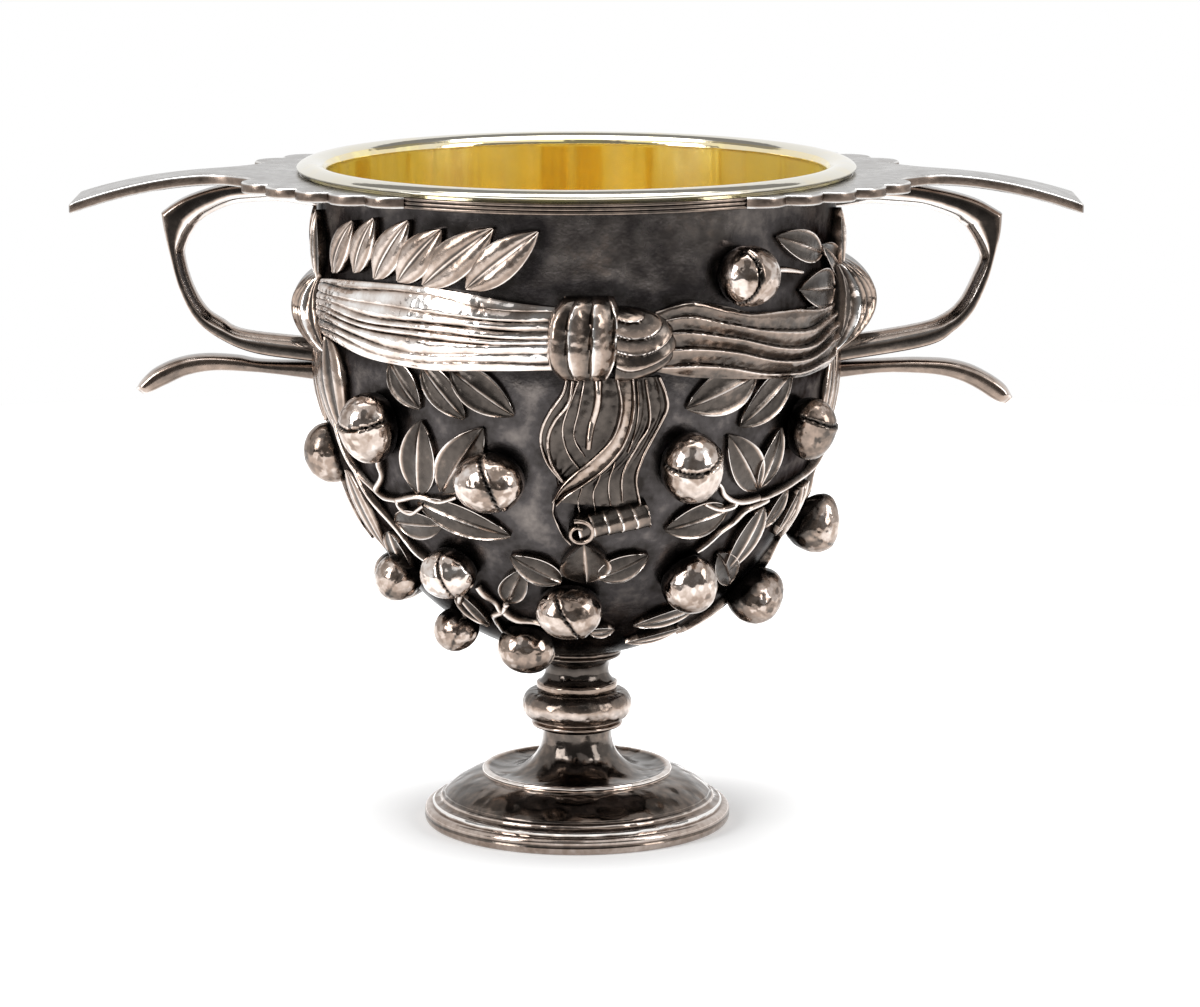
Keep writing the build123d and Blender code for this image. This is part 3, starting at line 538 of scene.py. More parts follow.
def leaf(shells, base, tip, width, style="rim", height=1.1):
    """A leaf with raised edges and midrib. Crown leaves swell on each side of the rib and have painted shadow
    lines in the creases beside the rib and inside the rim, pleated ones fold and curled ones cup."""
    u = shares(LEAF_ROWS)
    path = np.outer(1 - u, base) + np.outer(u, tip)
    shape = hump(np.clip(u, 0.004, 0.996) ** 0.85) ** 0.72
    half = 0.08 + 0.6 * width * shape
    left, right = beside(path, half), beside(path, -half)
    v = LEAF_ACROSS * 2 - 1
    t = np.abs(v)
    edge = bump(t, 0.96, 0.07)
    rib = bump(v, 0.0, 0.07) * smooth(1.0, 0.75, u)[:, None]
    body = height * (0.35 + 0.65 * hump(np.clip(u, 0.05, 0.95)) ** 0.5)[:, None]
    if style == "crown":
        body = body * 1.5
        swell = np.sqrt(unit(1 - ((t - 0.5) / 0.56) ** 2))
        lift = body * (0.75 + 0.7 * swell) + 0.12 * rib
        # Painted shadow: the two dark lines beside the rib and inside the rim stand in for shade in the
        # creases.
        polish_and_shading = 0.57 + 0.36 * edge + 0.26 * rib - 0.5 * bump(t, 0.12, 0.06) - 0.4 * bump(t, 0.86, 0.06)
    elif style == "pleat":
        fold = np.abs(np.sin(math.pi * (v + 1) * 1.5)) ** 0.7
        lift = body * (0.6 + 0.8 * fold * (1 - 0.4 * t))
        polish_and_shading = 0.12 + 0.6 * fold**4 + 0.5 * edge
    elif style == "curl":
        lift = body * (0.5 + 2.2 * t**2 * u[:, None]) + 0.3 * rib
        polish_and_shading = 0.14 + 0.85 * edge + 0.5 * rib
    else:
        dish = 1 - (2 * t - 1) ** 2
        lift = body * (1.0 - 0.28 * dish) + 0.28 * edge + 0.34 * rib
        polish_and_shading = 0.13 + 0.72 * edge + 0.7 * rib
    shells.strip(left, right, LEAF_ACROSS, lift, unit(polish_and_shading))


def twig(shells, path, wide=1.7, thin=1.1, height=1.5, shine=0.6):
    """A rounded twig along bends on the bowl."""
    line = spline(path, 10 * len(path))
    u = shares(len(line))
    half = (wide * (1 - u) + thin * u) / 2
    across = shares(9)
    v = across * 2 - 1
    lift = 0.25 + height * np.sqrt(unit(1 - v**2)) * (0.75 + 0.25 * np.sin(9 * u))[:, None]
    polish_and_shading = 0.25 + shine * (1 - v**2) ** 2
    shells.strip(beside(line, half), beside(line, -half), across, lift, polish_and_shading)


LEFT_LEAVES = [
    ((-23, 16.3), (-7.6, 27.6), 6.2, "crown"),
    ((-33.3, 16.3), (-17, 28), 6.4, "crown"),
    ((-40, 16.6), (-28.7, 27.3), 6.0, "crown"),
    ((-47, 16.5), (-37, 28.5), 5.6, "crown"),
    ((-54, 17), (-47, 28.2), 5.0, "crown"),
    ((-63.5, 16), (-54.5, 27), 5.0, "crown"),
    ((-76, 13), (-76, 27), 7.0, "rim", 1.5),
    ((-43, 0.5), (-35, -7), 5.4),
    ((-34, 0.5), (-24, -8), 5.2),
    ((-27, 0.5), (-13, -7), 6.2),
    ((-79, 0), (-67, -15), 7.0, "pleat"),
    ((-69, 2.5), (-64, -14), 10.5, "pleat", 1.7),
    ((-88, 0), (-80, -14), 6.0, "pleat"),
    ((-39, -23), (-35, -9), 7.0),
    ((-32, -22), (-20, -9.5), 7.0),
    ((-40, -24.6), (-16, -30), 5.8),
    ((-51, -30), (-34, -29), 5.4),
    ((-70, -22), (-67, -38), 7.4, "pleat"),
    ((-84, -24), (-81, -38), 6.5),
    ((-57, -33), (-59, -43.5), 6.0),
    ((-40, -46), (-37, -57), 4.4),
    ((-4, -40.5), (-17, -34.5), 5.4),
    ((-22, -47), (-14, -37.5), 4.4),
    ((3, -41), (2, -31), 8.0, "curl"),
    ((6, -39.5), (19, -34.4), 5.4),
    ((5, -57), (15, -56), 3.4),
]
RIGHT_LEAVES = [
    ((41.5, -1.5), (24, -6.2), 7.4),
    ((53, -2), (37.8, -10.3), 6.6),
    ((46.8, -22.8), (35, -11.7), 6.2),
    ((47.5, -22.6), (51, -11.8), 5.0),
    ((38.5, -26.2), (22, -29), 6.4),
    ((51.5, -27), (48, -41.5), 6.4),
    ((60.4, -24.6), (55, -32), 4.2),
    ((69.5, -25.4), (66.2, -35), 4.4),
    ((76, -25), (76, -38), 5.0),
    ((41, -36), (55, -45.5), 4.4),
    ((47, -51), (22, -55), 4.8),
    ((52, -60), (24, -63), 4.2),
    ((77, -50), (60, -64), 4.4),
    ((66, 19.5), (47.5, 24.5), 5.0),
    ((76, 11.6), (56, 13.3), 6.6),
    ((84, 13), (66.6, 21), 4.8),
    ((82, 13), (80, 27), 6.6, "rim", 1.9),
    ((76, -1), (72, -15), 5.0, "pleat"),
    ((86, 0), (83, -17), 6.0, "pleat"),
]
LEFT_TWIGS = [
    [(-68, -12), (-62, -21), (-54, -24.5), (-47, -25)],
    [(-47, -25), (-40, -23.5), (-34, -24), (-28, -22.5)],
    [(-62, -21), (-56, -28), (-50, -34), (-44, -38)],
    [(-47, -25), (-44, -27.5), (-38, -25)],
    [(-54.5, -24), (-51, -21), (-49.5, -17)],
    [(-30, -43), (-27, -47.5), (-25, -50)],
    [(-25, -50), (-20, -53), (-14, -53.5), (-8, -52)],
    [(-25, -50), (-30, -52), (-31, -57), (-27, -63)],
    [(-22, -47), (-25, -50)],
    [(-38, -46), (-43, -51), (-46, -56)],
]
RIGHT_TWIGS = [
    [(84, -16), (77, -20.5), (71, -22.7), (63.4, -23.6), (53.2, -24.4), (48.3, -24.8)],
    [(48.3, -24.8), (41, -24.6), (37, -23.2), (34.6, -20.9), (31, -18.5)],
    [(41, -24.6), (37, -26), (31, -24.1)],
    [(52, -25.5), (45, -26.5), (42.2, -29.3), (37.2, -31.2), (32.7, -34.4)],
    [(84, -17), (86, -24), (86, -30)],
    [(69, -24.9), (74, -33), (79, -40), (80, -46)],
    [(42, 18.3), (50, 17.8), (56, 16.8)],
]


# Fruit: turn, level, half width and height, polish, the cleft's lean, shift and depth, taper, tilt and lift

LEFT_FRUITS = [
    (-47.8, -11, 5.6, 7.0, 0.64, (94, -0.2, 1.0), -0.1),
    (-18.5, -18.3, 7.0, 5.8, 0.64, (-16, 0.36, 1.0)),
    (-35, -38, 5.8, 4.9, 0.70, (-12, 0.45, 1.0)),
    (-60, -42.2, 4.9, 4.6, 0.54, (60, 0.3, 0.3), 0.1),
    (-51, -56, 5.1, 4.0, 0.54, (50, 0.3, 0.3), 0.1),
    (-21, -60, 5.7, 4.6, 0.46, (70, 0.5, 0.8), 0.0, -15),
    (-2, -46, 6.5, 5.2, 0.68, (-20, 0.2, 1.0)),
]
RIGHT_FRUITS = [
    (25, -16, 6.0, 7.0, 0.62, (76, -0.22, 1.0)),
    (58.5, -12.3, 4.6, 6.2, 0.5, (92, -0.3, 1.0), -0.1),
    (32, -40, 5.4, 5.9, 0.64, (80, 0.0, 0.0), 0.18),
    (73.5, -48, 4.5, 6.5, 0.52, (30, 0.0, 0.2), 0.16, -50, 4.0),
    (37.2, 18, 6.2, 5.9, 0.68, (4, -0.3, 1.0)),
]
LEFT_HANDLE_FRUIT = (-84, -20.5, 4.6, 6.2, 0.5, (0, 0.0, 0.2), 0.0, 0, 1.0)
RIGHT_HANDLE_FRUIT = (87.5, -33, 4.5, 6.2, 0.5, (75, 0.3, 0.3), 0.3, 0, 5.2)


def unit_ball():
    shell = bmesh.new()
    bmesh.ops.create_icosphere(shell, subdivisions=5, radius=1)
    shell.verts.index_update()
    points = np.array([v.co[:] for v in shell.verts])
    tris = np.array([[v.index for v in f.verts] for f in shell.faces])
    shell.free()
    return points, tris


BALL_POINTS, BALL_TRIS = unit_ball()
HAMMER_BLOWS = 280


def fruit(shells, turn, level, wide, tall, shine, cleft, taper=0.0, tilt=0, lift=3.0):
    """A hammered fruit with a cleft, whose one side laps over the other. Each blow has its own painted sheen:
    a random lighter or darker tone that stands in for the reflection its facet catches.
    """
    number = np.arange(HAMMER_BLOWS) + 0.5
    polar = np.arccos(1 - 2 * number / HAMMER_BLOWS) + RNG.normal(0, 0.05, HAMMER_BLOWS)
    around = math.pi * (1 + 5**0.5) * number + RNG.normal(0, 0.05, HAMMER_BLOWS)
    blows = columns(np.cos(around) * np.sin(polar), np.sin(around) * np.sin(polar), np.cos(polar))
    facing = BALL_POINTS @ blows.T
    # Painted reflection: each hammer facet gets a random lighter or darker tone, as if it caught its own
    # reflection.
    facet_sheen = RNG.normal(0, 0.08, HAMMER_BLOWS)[facing.argmax(1)]
    swell = 1 + 0.7 * (1 / np.clip(facing.max(1), 0.5, 1) - 1)
    x, y, out_share = BALL_POINTS.T
    lean = math.radians(cleft[0])
    side = x * math.cos(lean) - y * math.sin(lean)
    length = x * math.sin(lean) + y * math.cos(lean)
    front = cleft[2] * smooth(-0.35, 0.25, out_share)
    gap = side - cleft[1] + 0.22 * length**2
    swell += front * (0.05 * bump(gap, 0.12, 0.12) - 0.11 * bump(gap, 0, 0.03))
    points = BALL_POINTS * swell[:, None] * np.array([wide, tall, (wide + tall) / 2])
    points[:, [0, 2]] *= (1 - taper * y)[:, None]
    points[:, 2] = np.maximum(points[:, 2], -lift - SINK)
    spin = math.radians(tilt)
    origin = surface(turn, level, lift)
    out = surface(turn, level, lift + 1) - origin
    east = np.array([math.cos(math.radians(turn)), math.sin(math.radians(turn)), 0])
    up = np.cross(out, east)
    placed = origin + np.outer(points[:, 0], east * math.cos(spin) + up * math.sin(spin))
    rise = np.outer(points[:, 1], up * math.cos(spin) - east * math.sin(spin))
    placed += rise + np.outer(points[:, 2], out)
    polish_and_shading = shine + facet_sheen - 0.9 * front * bump(gap, 0, 0.04) - 0.7 * smooth(0.12, -0.45, out_share)
    shells.add(placed, unit(polish_and_shading), tris=BALL_TRIS)


# Ribbon, knot, tails and wraps

BAND_ALONG = shares(150)[:, None]
BAND_ACROSS = shares(111)


def laps(phase):
    """Overlapping folds that rise steeply to a round edge and slope away: their height and bright edge."""
    part = phase % 1
    return smooth(0, 0.16, part) * (1 - 0.85 * smooth(0.12, 1, part)), bump(part, 0.14, 0.08)


def band(shells, top, bottom, fold, shine, thick=1.3, ridge=0.9):
    """A length of ribbon between its top and bottom edges, with grids of folds and shine."""
    steps = len(BAND_ALONG)
    swell = hump(np.clip(BAND_ACROSS, 0.02, 0.98)) ** 0.5
    tuck = 0.15 + 0.85 * smooth(0, 0.16, np.minimum(BAND_ALONG, 1 - BAND_ALONG))
    lift = 0.3 + tuck * (0.2 + thick * swell + ridge * fold * (0.6 + 0.4 * swell))
    shells.strip(spline(top, steps), spline(bottom, steps), BAND_ACROSS, lift, unit(shine))


def left_band(shells):
    """Broad polished folds between narrow dark lines, darker towards the handle."""
    u, v = BAND_ALONG, BAND_ACROSS
    sway = 0.3 * np.sin(u * 6.5 + 0.6) * hump(v)
    sway = sway + 0.2 * np.sin(u * 13 + 4 * v) * np.sin(3 * math.pi * v)
    uneven = v + 0.025 * np.sin(11 * v + 0.8) + 0.012 * np.sin(23 * v)
    depth = np.clip(0.75 + 0.4 * np.sin(9 * v + 5 * u), 0.3, 1)
    fold = 1 - depth * (1 - np.abs(hump(uneven * 8 + sway)) ** 0.4)
    blend = 0.62 + 0.38 * smooth(0.0, 0.3, u)
    shine = (0.08 + 0.76 * fold**2 + 0.07 * np.sin(u * 61 + 9 * v)) * blend
    band(
        shells,
        [(-77, 12.6), (-70, 14), (-62, 14.8), (-50, 15.6), (-37, 16), (-25, 15.5), (-12, 13.9), (-3, 13)],
        [(-77, 3.6), (-70, 3), (-62, 2.4), (-50, 0.8), (-40, 0.3), (-31, 0), (-19, 0.6), (-3, 1.1)],
        fold, shine, ridge=0.8,
    )


def right_band(shells):
    """Wavy overlapping folds, dark with coppery edges."""
    u, v = BAND_ALONG, BAND_ACROSS
    sway = 0.42 * np.sin(u * 8.5 + 0.4) * hump(v) + 0.12 * np.sin(u * 15 + 5 * v)
    fold, edge = laps(v * 4.6 + sway)
    shine = 0.17 + 0.2 * fold + 0.38 * edge
    band(
        shells,
        [(17, 12), (24.6, 13.6), (33, 12.2), (40, 10.6), (55, 9.8), (63, 9.4), (70, 9), (80, 8.6)],
        [(17, 0.4), (24.6, -0.8), (39, -2), (55, -3.2), (63, -3.1), (70, -2.4), (80, 0)],
        fold, shine, thick=1.4, ridge=1.5,
    )


def knot(shells):
    """An upright loop with four folds, and the rounded turn of ribbon that comes out beside it."""
    u, width = shares(70), shares(71)
    height = u[:, None]

    def part(ends, side, low, tall, left, right, folds, rise, shine):
        level = low + tall * u
        fold, edge = laps(folds)
        dome = (1 - ends[:, None]) ** 0.5 * side**0.5
        polish_and_shading = unit(shine[0] + shine[1] * fold + shine[2] * edge * dome)
        lift = 0.1 + dome * (rise[0] + rise[1] * fold)
        shells.strip(columns(left, level), columns(right, level), width, lift, polish_and_shading)

    ends = np.abs(2 * u - 1) ** 3
    side = 1 - np.abs(2 * width - 1) ** 4
    left, right = -6.4 + 0.8 * u + 3.6 * ends, 8.6 + 1.4 * u - 2.0 * ends
    folds = 3.3 * width + 0.05 + 0.16 * height
    part(ends, side, -1.0, 16.2, left, right, folds, (4.2, 1.5), (0.18, 0.44, 0.4))
    ends = np.abs(2 * u - 1) ** 2.2
    left, right = 8.0 + 0 * u, 9.0 + 12.6 * (1 - ends) ** 0.5
    folds = 4.6 * (height - 0.68 * width**2 + 0.4 * width) + 0.1
    part(ends, 1 - width**2.4, -1.2, 14.4, left, right, folds, (3.8, 1.3), (0.13, 0.32, 0.45))


# Tails: edges of the two sheets, and raised lines as width, height and path
SHORT_TAIL_LEFT = [
    (-1.7, -0.5), (-2.6, -3), (-5.2, -6.1), (-6.9, -8.9), (-7.3, -11.7),
    (-6, -15), (-2.7, -18.6),
]
S_FOLD_LEFT = [
    (8.6, -0.5), (9.4, -4.6), (8.7, -8.6), (6.9, -11.7), (3.5, -14.6),
    (-0.2, -16.8), (-3, -19), (-5, -22),
]
S_FOLD_RIGHT = [
    (11.8, -0.5), (12, -5), (11.3, -9), (9.6, -12.7), (6.6, -15.9),
    (2, -18.6), (-2, -20.6), (-4.2, -22.6),
]
LONG_TAIL_RIGHT = [
    (17.6, -0.5), (19, -3.6), (19.2, -6.4), (16.4, -11.4), (14.4, -14.8),
    (13.3, -18.4), (15, -24),
]
TAIL_LINES = [
    (1.0, 0.9, SHORT_TAIL_LEFT),
    (1.1, 1.3, [(-0.5, -0.8), (-1.4, -4.5), (-4.2, -7.6), (-5.8, -10.8), (-5.2, -14.8), (-2.6, -18.3)]),
    (0.7, 0.9, [(0.7, -0.8), (-1.8, -6.1), (-2.7, -9.5), (-1.8, -12.9), (0.6, -15.9)]),
    (0.6, 0.8, [(1.9, -0.8), (0.6, -6.1), (-0.3, -10.4), (2, -13.9)]),
    (1.9, 1.3, [(4.7, -0.8), (4.6, -4.9), (3.2, -9.2), (2.7, -12.4)]),
    (0.9, 1.9, S_FOLD_LEFT),
    (0.9, 1.9, S_FOLD_RIGHT),
    (0.8, 1.3, [(-4.7, -21.6), (-5, -24.8), (-3.8, -27.7), (-1.2, -30.8)]),
    (0.6, 0.8, [(12.8, -1), (13.1, -7.7), (11.2, -13.3)]),
    (0.8, 1.0, [(14.7, -0.8), (15.6, -7.9), (13.4, -11.9), (10.9, -16), (10.1, -18.6), (10.6, -22.4)]),
    (1.0, 1.1, LONG_TAIL_RIGHT),
    (0.6, 0.8, [(8.6, -14.8), (7.6, -17.4), (7.4, -20.3), (7.9, -23)]),
    (0.6, 0.7, [(5.4, -17.2), (4, -20.8), (4.4, -24)]),
    (0.5, 0.7, [(1.4, -19.6), (0.6, -22.4), (1, -24.6)]),
]


def tails(shells):
    """Two dark sheets, the folded edge that crosses between them, and the raised lines of their folds."""
    steps = 80
    share = shares(25)
    hollow = 0.12 * np.cos(share * 25)
    edges = [spline(row, steps) for row in (SHORT_TAIL_LEFT, S_FOLD_LEFT, S_FOLD_RIGHT, LONG_TAIL_RIGHT)]
    for left, right in ((edges[0], edges[1]), (edges[2], edges[3])):
        shells.strip(left, right, share, 0.7 + hollow, 0.16 + 0.3 * hollow)
    light = 0.32 * hump(shares(steps))[:, None] * hump(share)
    shells.strip(edges[1], edges[2], share, 1.35 - 0.5 * hump(share), 0.3 + light)
    for wide, height, path in TAIL_LINES:
        twig(shells, path, wide, 0.8 * wide, height + 0.6, 0.38)
    roll(shells)


ROLL_BANDS = 5
ROLL_RADIUS = 2.7
ROLL_START = (0.8, -27.2)
ROLL_END = (16.6, -25.0)


def roll(shells):
    """The rolled end of the longer tail: a banded cylinder with a spiral at its left end."""
    u = np.linspace(0, 0.999, ROLL_BANDS * 14)
    axis = np.outer(1 - u, ROLL_START) + np.outer(u, ROLL_END)
    angle = np.linspace(0, math.pi, 25)
    across = (1 - np.cos(angle)) / 2
    dome = np.sin(angle)
    part = (u[:, None] * ROLL_BANDS - 0.3 * dome + 0.3) % 1
    lift = 0.3 + dome * ROLL_RADIUS * 1.3 + 0.4 * (1 - part) ** 2 * dome
    polish_and_shading = 0.14 + 0.7 * bump(part, 0.05, 0.1) * (0.4 + 0.6 * dome) + 0.16 * dome**4
    radius = np.full(len(u), ROLL_RADIUS)
    shells.strip(beside(axis, radius), beside(axis, -radius), across, lift, unit(polish_and_shading))
    turns = np.linspace(0, 2.7 * math.pi, 60)
    reach = np.linspace(ROLL_RADIUS + 0.2, 0.6, 60)
    across_mm, along_mm = scale_at(ROLL_START[1])
    spiral = columns(reach * np.sin(turns - 0.3) / across_mm, reach * np.cos(turns - 0.3) / along_mm)
    spiral += ROLL_START
    half = np.linspace(0.5, 0.35, 60)
    cross = shares(7)
    crest = np.sqrt(unit(1 - (cross * 2 - 1) ** 2))
    height = np.linspace(3.9, 3.2, 60)[:, None] + 0.6 * crest
    shells.strip(beside(spiral, half), beside(spiral, -half), cross, height, 0.16 + 0.42 * crest)


def wrap(shells, side, reach, low, high, flare):
    """The gathered ribbon over the foot of a ring handle: cords that bend towards its corners."""
    u, v = shares(60)[:, None], shares(121)
    arch = hump(u)
    across = 2 * v - 1
    gather = 3 * (1 - arch)
    spread = across * (1 + gather) / (1 + gather * np.abs(across))
    turn = side * (90 + (13 + flare * (1 - u) ** 2) * spread)
    level = low + (high - low) * u
    from_edge = 1 - np.abs(across)
    fold, edge = laps(6 * from_edge)
    bold = bump(from_edge, 0.18, 0.04)
    dome = hump(np.clip(v, 0.01, 0.99)) ** 0.5
    lift = 0.1 + arch**0.6 * ((reach - BOWL_RADIUS - 1.0) * dome + 0.9 * fold + 0.8 * bold)
    polish_and_shading = unit(0.08 + 0.2 * fold + 0.32 * edge + 0.6 * bold)
    shells.slab(surface(turn, level, lift), surface(turn, level, -SINK), polish_and_shading)


def build_sprays_and_fruit():
    """Leaves, twigs and fruit of the front, and the same turned half round for the back, where only the
    fruit under the handle is left out. Returns points near the ground."""
    touching = []
    for near, far, leaves, twigs, fruits, handle_fruit in (
        ("front_left", "back_right", LEFT_LEAVES, LEFT_TWIGS, LEFT_FRUITS, LEFT_HANDLE_FRUIT),
        ("front_right", "back_left", RIGHT_LEAVES, RIGHT_TWIGS, RIGHT_FRUITS, RIGHT_HANDLE_FRUIT),
    ):
        spray, ripe = Shells(), Shells()
        for row in leaves:
            leaf(spray, *row)
        for path in twigs:
            twig(spray, path)
        for row in fruits:
            fruit(ripe, *row)
        for quarter, turned in ((far, True), (near, False)):
            if not turned:
                fruit(ripe, *handle_fruit)
            spray.build(quarter + "_leaves", RELIEF, quarter + "_spray", half_turn=turned)
            ripe.build(quarter + "_fruits", FRUIT, quarter + "_fruit", half_turn=turned)
        touching += [p[::3] for p in spray.points] + [p[::7] for p in ripe.points]
    return touching


def build_ribbon():
    """Bands, knots, tails and wraps. Returns points near the ground."""
    touching = []
    for maker, near, far, word, node in (
        (left_band, "front_left", "back_right", "band", "ribbon"),
        (right_band, "front_right", "back_left", "band", "ribbon"),
        (knot, "front", "back", "tied_knot", "knot"),
        (tails, "front", "back", "hanging_tails", "ribbon_tails"),
    ):
        made = Shells()
        maker(made)
        for place, turned in ((near, False), (far, True)):
            made.build(f"{place}_{word}", RIBBON, f"{place}_{node}", half_turn=turned)
        touching += [p[::5] for p in made.points]
    for side, *sizes in (("left", -1, 57.4, -1.2, 13.6, 9), ("right", 1, 60.4, -1.4, 16.8, 4)):
        made = Shells()
        wrap(made, *sizes)
        made.build(side + "_gathered_wrap", RIBBON, side + "_ribbon_wrap")
        touching += [p[::5] for p in made.points]
    return touching


# Handles: outlines as x outwards and z, with a set for each side because the two differ a little

HANDLE_HALF_WIDTH = 3.5
# The ring's outer line to its corner and on from there, its inner line likewise, the spur's top and underside
LEFT_LINES = [
    [(51.5, 130.9), (61, 130.9), (67, 130.8), (72, 130.1), (77, 128.6), (80.3, 127), (83.1, 125)],
    [(82.6, 121.7), (81.4, 116.4), (79.6, 109.6), (76.4, 103.4), (71.2, 99.3), (64, 96.5), (51.5, 94.8)],
    [(51.5, 127.6), (60, 128.6), (67.1, 128.4), (70.8, 127.5), (74.5, 125.7), (76.2, 124.4), (77.6, 122.9)],
    [(79.3, 119.8), (80, 116.3), (78.5, 110.2), (75.4, 104.7), (71.2, 101.9), (65.7, 99.8), (51.5, 97.9)],
    [
        (51.5, 94.7), (63.2, 95), (68.7, 95.9), (74.9, 96.2), (80.2, 95.4), (84.9, 93.4), (87.6, 91.1),
        (88.8, 89.4),
    ],
    [
        (51.5, 91.0), (59, 92.1), (65.2, 92.7), (72.5, 93), (78.1, 92.1), (82.4, 90.2), (85.2, 88.9),
        (87.2, 88.2),
    ],
]
RIGHT_LINES = [
    [(51.5, 130.9), (61, 130.9), (66, 130.7), (71.2, 129.9), (76, 128.9), (80.6, 127.4), (85.2, 124.8)],
    [(84.9, 121), (83.8, 116.4), (82.3, 110.9), (79.7, 105.3), (76, 101.3), (70, 98), (51.5, 94.8)],
    [(51.5, 127.6), (60, 128.2), (67.4, 127.6), (71.8, 126.7), (76, 125.2), (77.7, 124.1), (79.1, 122.9)],
    [(81.2, 119.5), (82.3, 116), (80.8, 111.5), (78.1, 106.3), (74.5, 103.1), (68.7, 101), (51.5, 98)],
    [
        (51.5, 94.7), (64.3, 95.3), (69.2, 95.4), (75.1, 95.1), (79.5, 94), (83.2, 92.2), (86.4, 89.9),
        (87.9, 87.6),
    ],
    [
        (51.5, 91.4), (60, 92.5), (66, 92.6), (72.2, 92.2), (76.5, 91.2), (80.2, 89.5), (83.8, 87.2),
        (86.2, 86.1),
    ],
]


def loop(outer, inner, half_widths, sign, power, belly=0.0, count=40):
    """Rings of points between two outlines: a rounded box section, its inner side swollen by a belly.

    Also how near each point of the section is to a corner, and to the inner side.
    """
    angle = np.linspace(0, 2 * math.pi, count, endpoint=False) + math.pi / count
    across, through = (np.sign(s) * np.abs(s) ** (2 / power) for s in (np.cos(angle), np.sin(angle)))
    middle, half = (outer + inner) / 2, (outer - inner) / 2
    inward = -half / np.linalg.norm(half, axis=1, keepdims=True)
    swell = belly * unit(-through) * (1 - across**2)
    flat = middle[:, None] + half[:, None] * through[:, None] + inward[:, None] * swell[:, None]
    rings = columns(sign * flat[..., 0], np.outer(half_widths, across), flat[..., 1])
    return rings, smooth(0.55, 0.95, np.abs(across * through) ** 0.5), smooth(0.3, 0.9, -through)


def build_handles():
    for side, sign, lines in (("left", -1, LEFT_LINES), ("right", 1, RIGHT_LINES)):
        outlines = []
        for run, bend in (lines[:2], lines[2:4]):
            outlines.append(np.vstack([spline(run, 40), spline([run[-1], *bend], 90)[1:]]))
        widths = np.full(len(outlines[0]), HANDLE_HALF_WIDTH)
        rings, edge, within = loop(*outlines, widths, sign, 5.0, 1.6)
        ring = Shells()
        ring.tube(rings, 0.19 + 0.44 * edge + 0.34 * within)
        ring.build(side + "_ring", HANDLE, side + "_ring_handle", crease=40)
        u = shares(90)
        widths = HANDLE_HALF_WIDTH * np.sqrt(unit(1 - 0.8 * smooth(0.88, 1.0, u) ** 2))
        rings, edge, within = loop(*(spline(line, 90) for line in lines[4:]), widths, sign, 3.2)
        spur = Shells()
        spur.tube(rings, 0.35 + 0.32 * edge - 0.18 * within + 0.16 * smooth(0.72, 0.95, u)[:, None])
        spur.build(side + "_spur", HANDLE, side + "_finger_spur")
        build_plate(side, sign)


PLATE_BEND_X = 68.0
PLATE_DROOP = 5.5
LOBE_RADIUS = 5.0
LOBE_TURNS = [17, 25, 33, 41, 49]
LOBE_REACHES = [16.5, 14.2, 11.8, 9.4, 7.0]
LOBE_START, LOBE_END = 12.75, 53.95
# How far in from the outline, how far down from the top, and the polish, for each ring of the rounded edge
PLATE_EDGE = [
    (0.5, 0.0, 0.62),
    (0.25, 0.06, 0.95),
    (0.07, 0.22, 0.9),
    (0.0, 0.5, 0.2),
    (0.0, 1.7, 0.16),
    (0.07, 1.98, 0.7),
    (0.25, 2.14, 0.8),
    (0.5, 2.2, 0.4),
]
PLATE_GRID = 2.4


def plate_outline():
    """The plate's plan as x and y, once round from the middle of its tip, and where its edge is rounded."""
    tip = PLATE_TIP_X
    corner = [(tip, 0), (tip, 4.5), (tip, 9.2), (tip - 0.3, 10.1), (tip - 1.2, 10.3)]
    side = [(tip - 1.2, 10.3), (92, 8.4), (84, 6.6), (76, 6), (70.4, 7.2), (66.5, 10.6), (64.1, 13.8)]
    side = spline(side, 40)
    turns = np.radians(np.linspace(LOBE_START, LOBE_END, 150))
    edge = np.full(len(turns), MOULDING_RADIUS)
    for turn, reach in zip(LOBE_TURNS, LOBE_REACHES):
        distance = BOWL_RADIUS + reach - LOBE_RADIUS
        swing = turns - math.radians(turn)
        room = LOBE_RADIUS**2 - (distance * np.sin(swing)) ** 2
        far = distance * np.cos(swing) + np.sqrt(np.clip(room, 0, None))
        edge = np.where(room > 0, np.maximum(edge, far), edge)
    lobes = columns(edge * np.cos(turns), edge * np.sin(turns))
    back = np.radians(np.linspace(LOBE_END, 0, 60))[1:]
    rim = columns(np.cos(back), np.sin(back)) * MOULDING_RADIUS
    half = np.vstack([corner, side[1:], lobes, rim])
    free = np.linspace(len(half), 1, len(half)) - len(rim)
    rounded = unit(free / 12)
    outline = np.vstack([half, (half * np.array([1, -1]))[-2:0:-1]])
    return outline, np.concatenate([rounded, rounded[-2:0:-1]])


def inside(outline, points):
    """Which points lie in a closed outline, well clear of it."""
    after = np.roll(outline, -1, axis=0)
    x, y = points[:, :1], points[:, 1:]
    crossing = (outline[:, 1] > y) != (after[:, 1] > y)
    rise = np.where(after[:, 1] == outline[:, 1], 1, after[:, 1] - outline[:, 1])
    at = outline[:, 0] + (y - outline[:, 1]) * (after[:, 0] - outline[:, 0]) / rise
    odd = (crossing & (x < at)).sum(1) % 2 == 1
    clear = np.linalg.norm(points[:, None] - outline[None], axis=2).min(1) > PLATE_GRID / 2
    return odd & clear


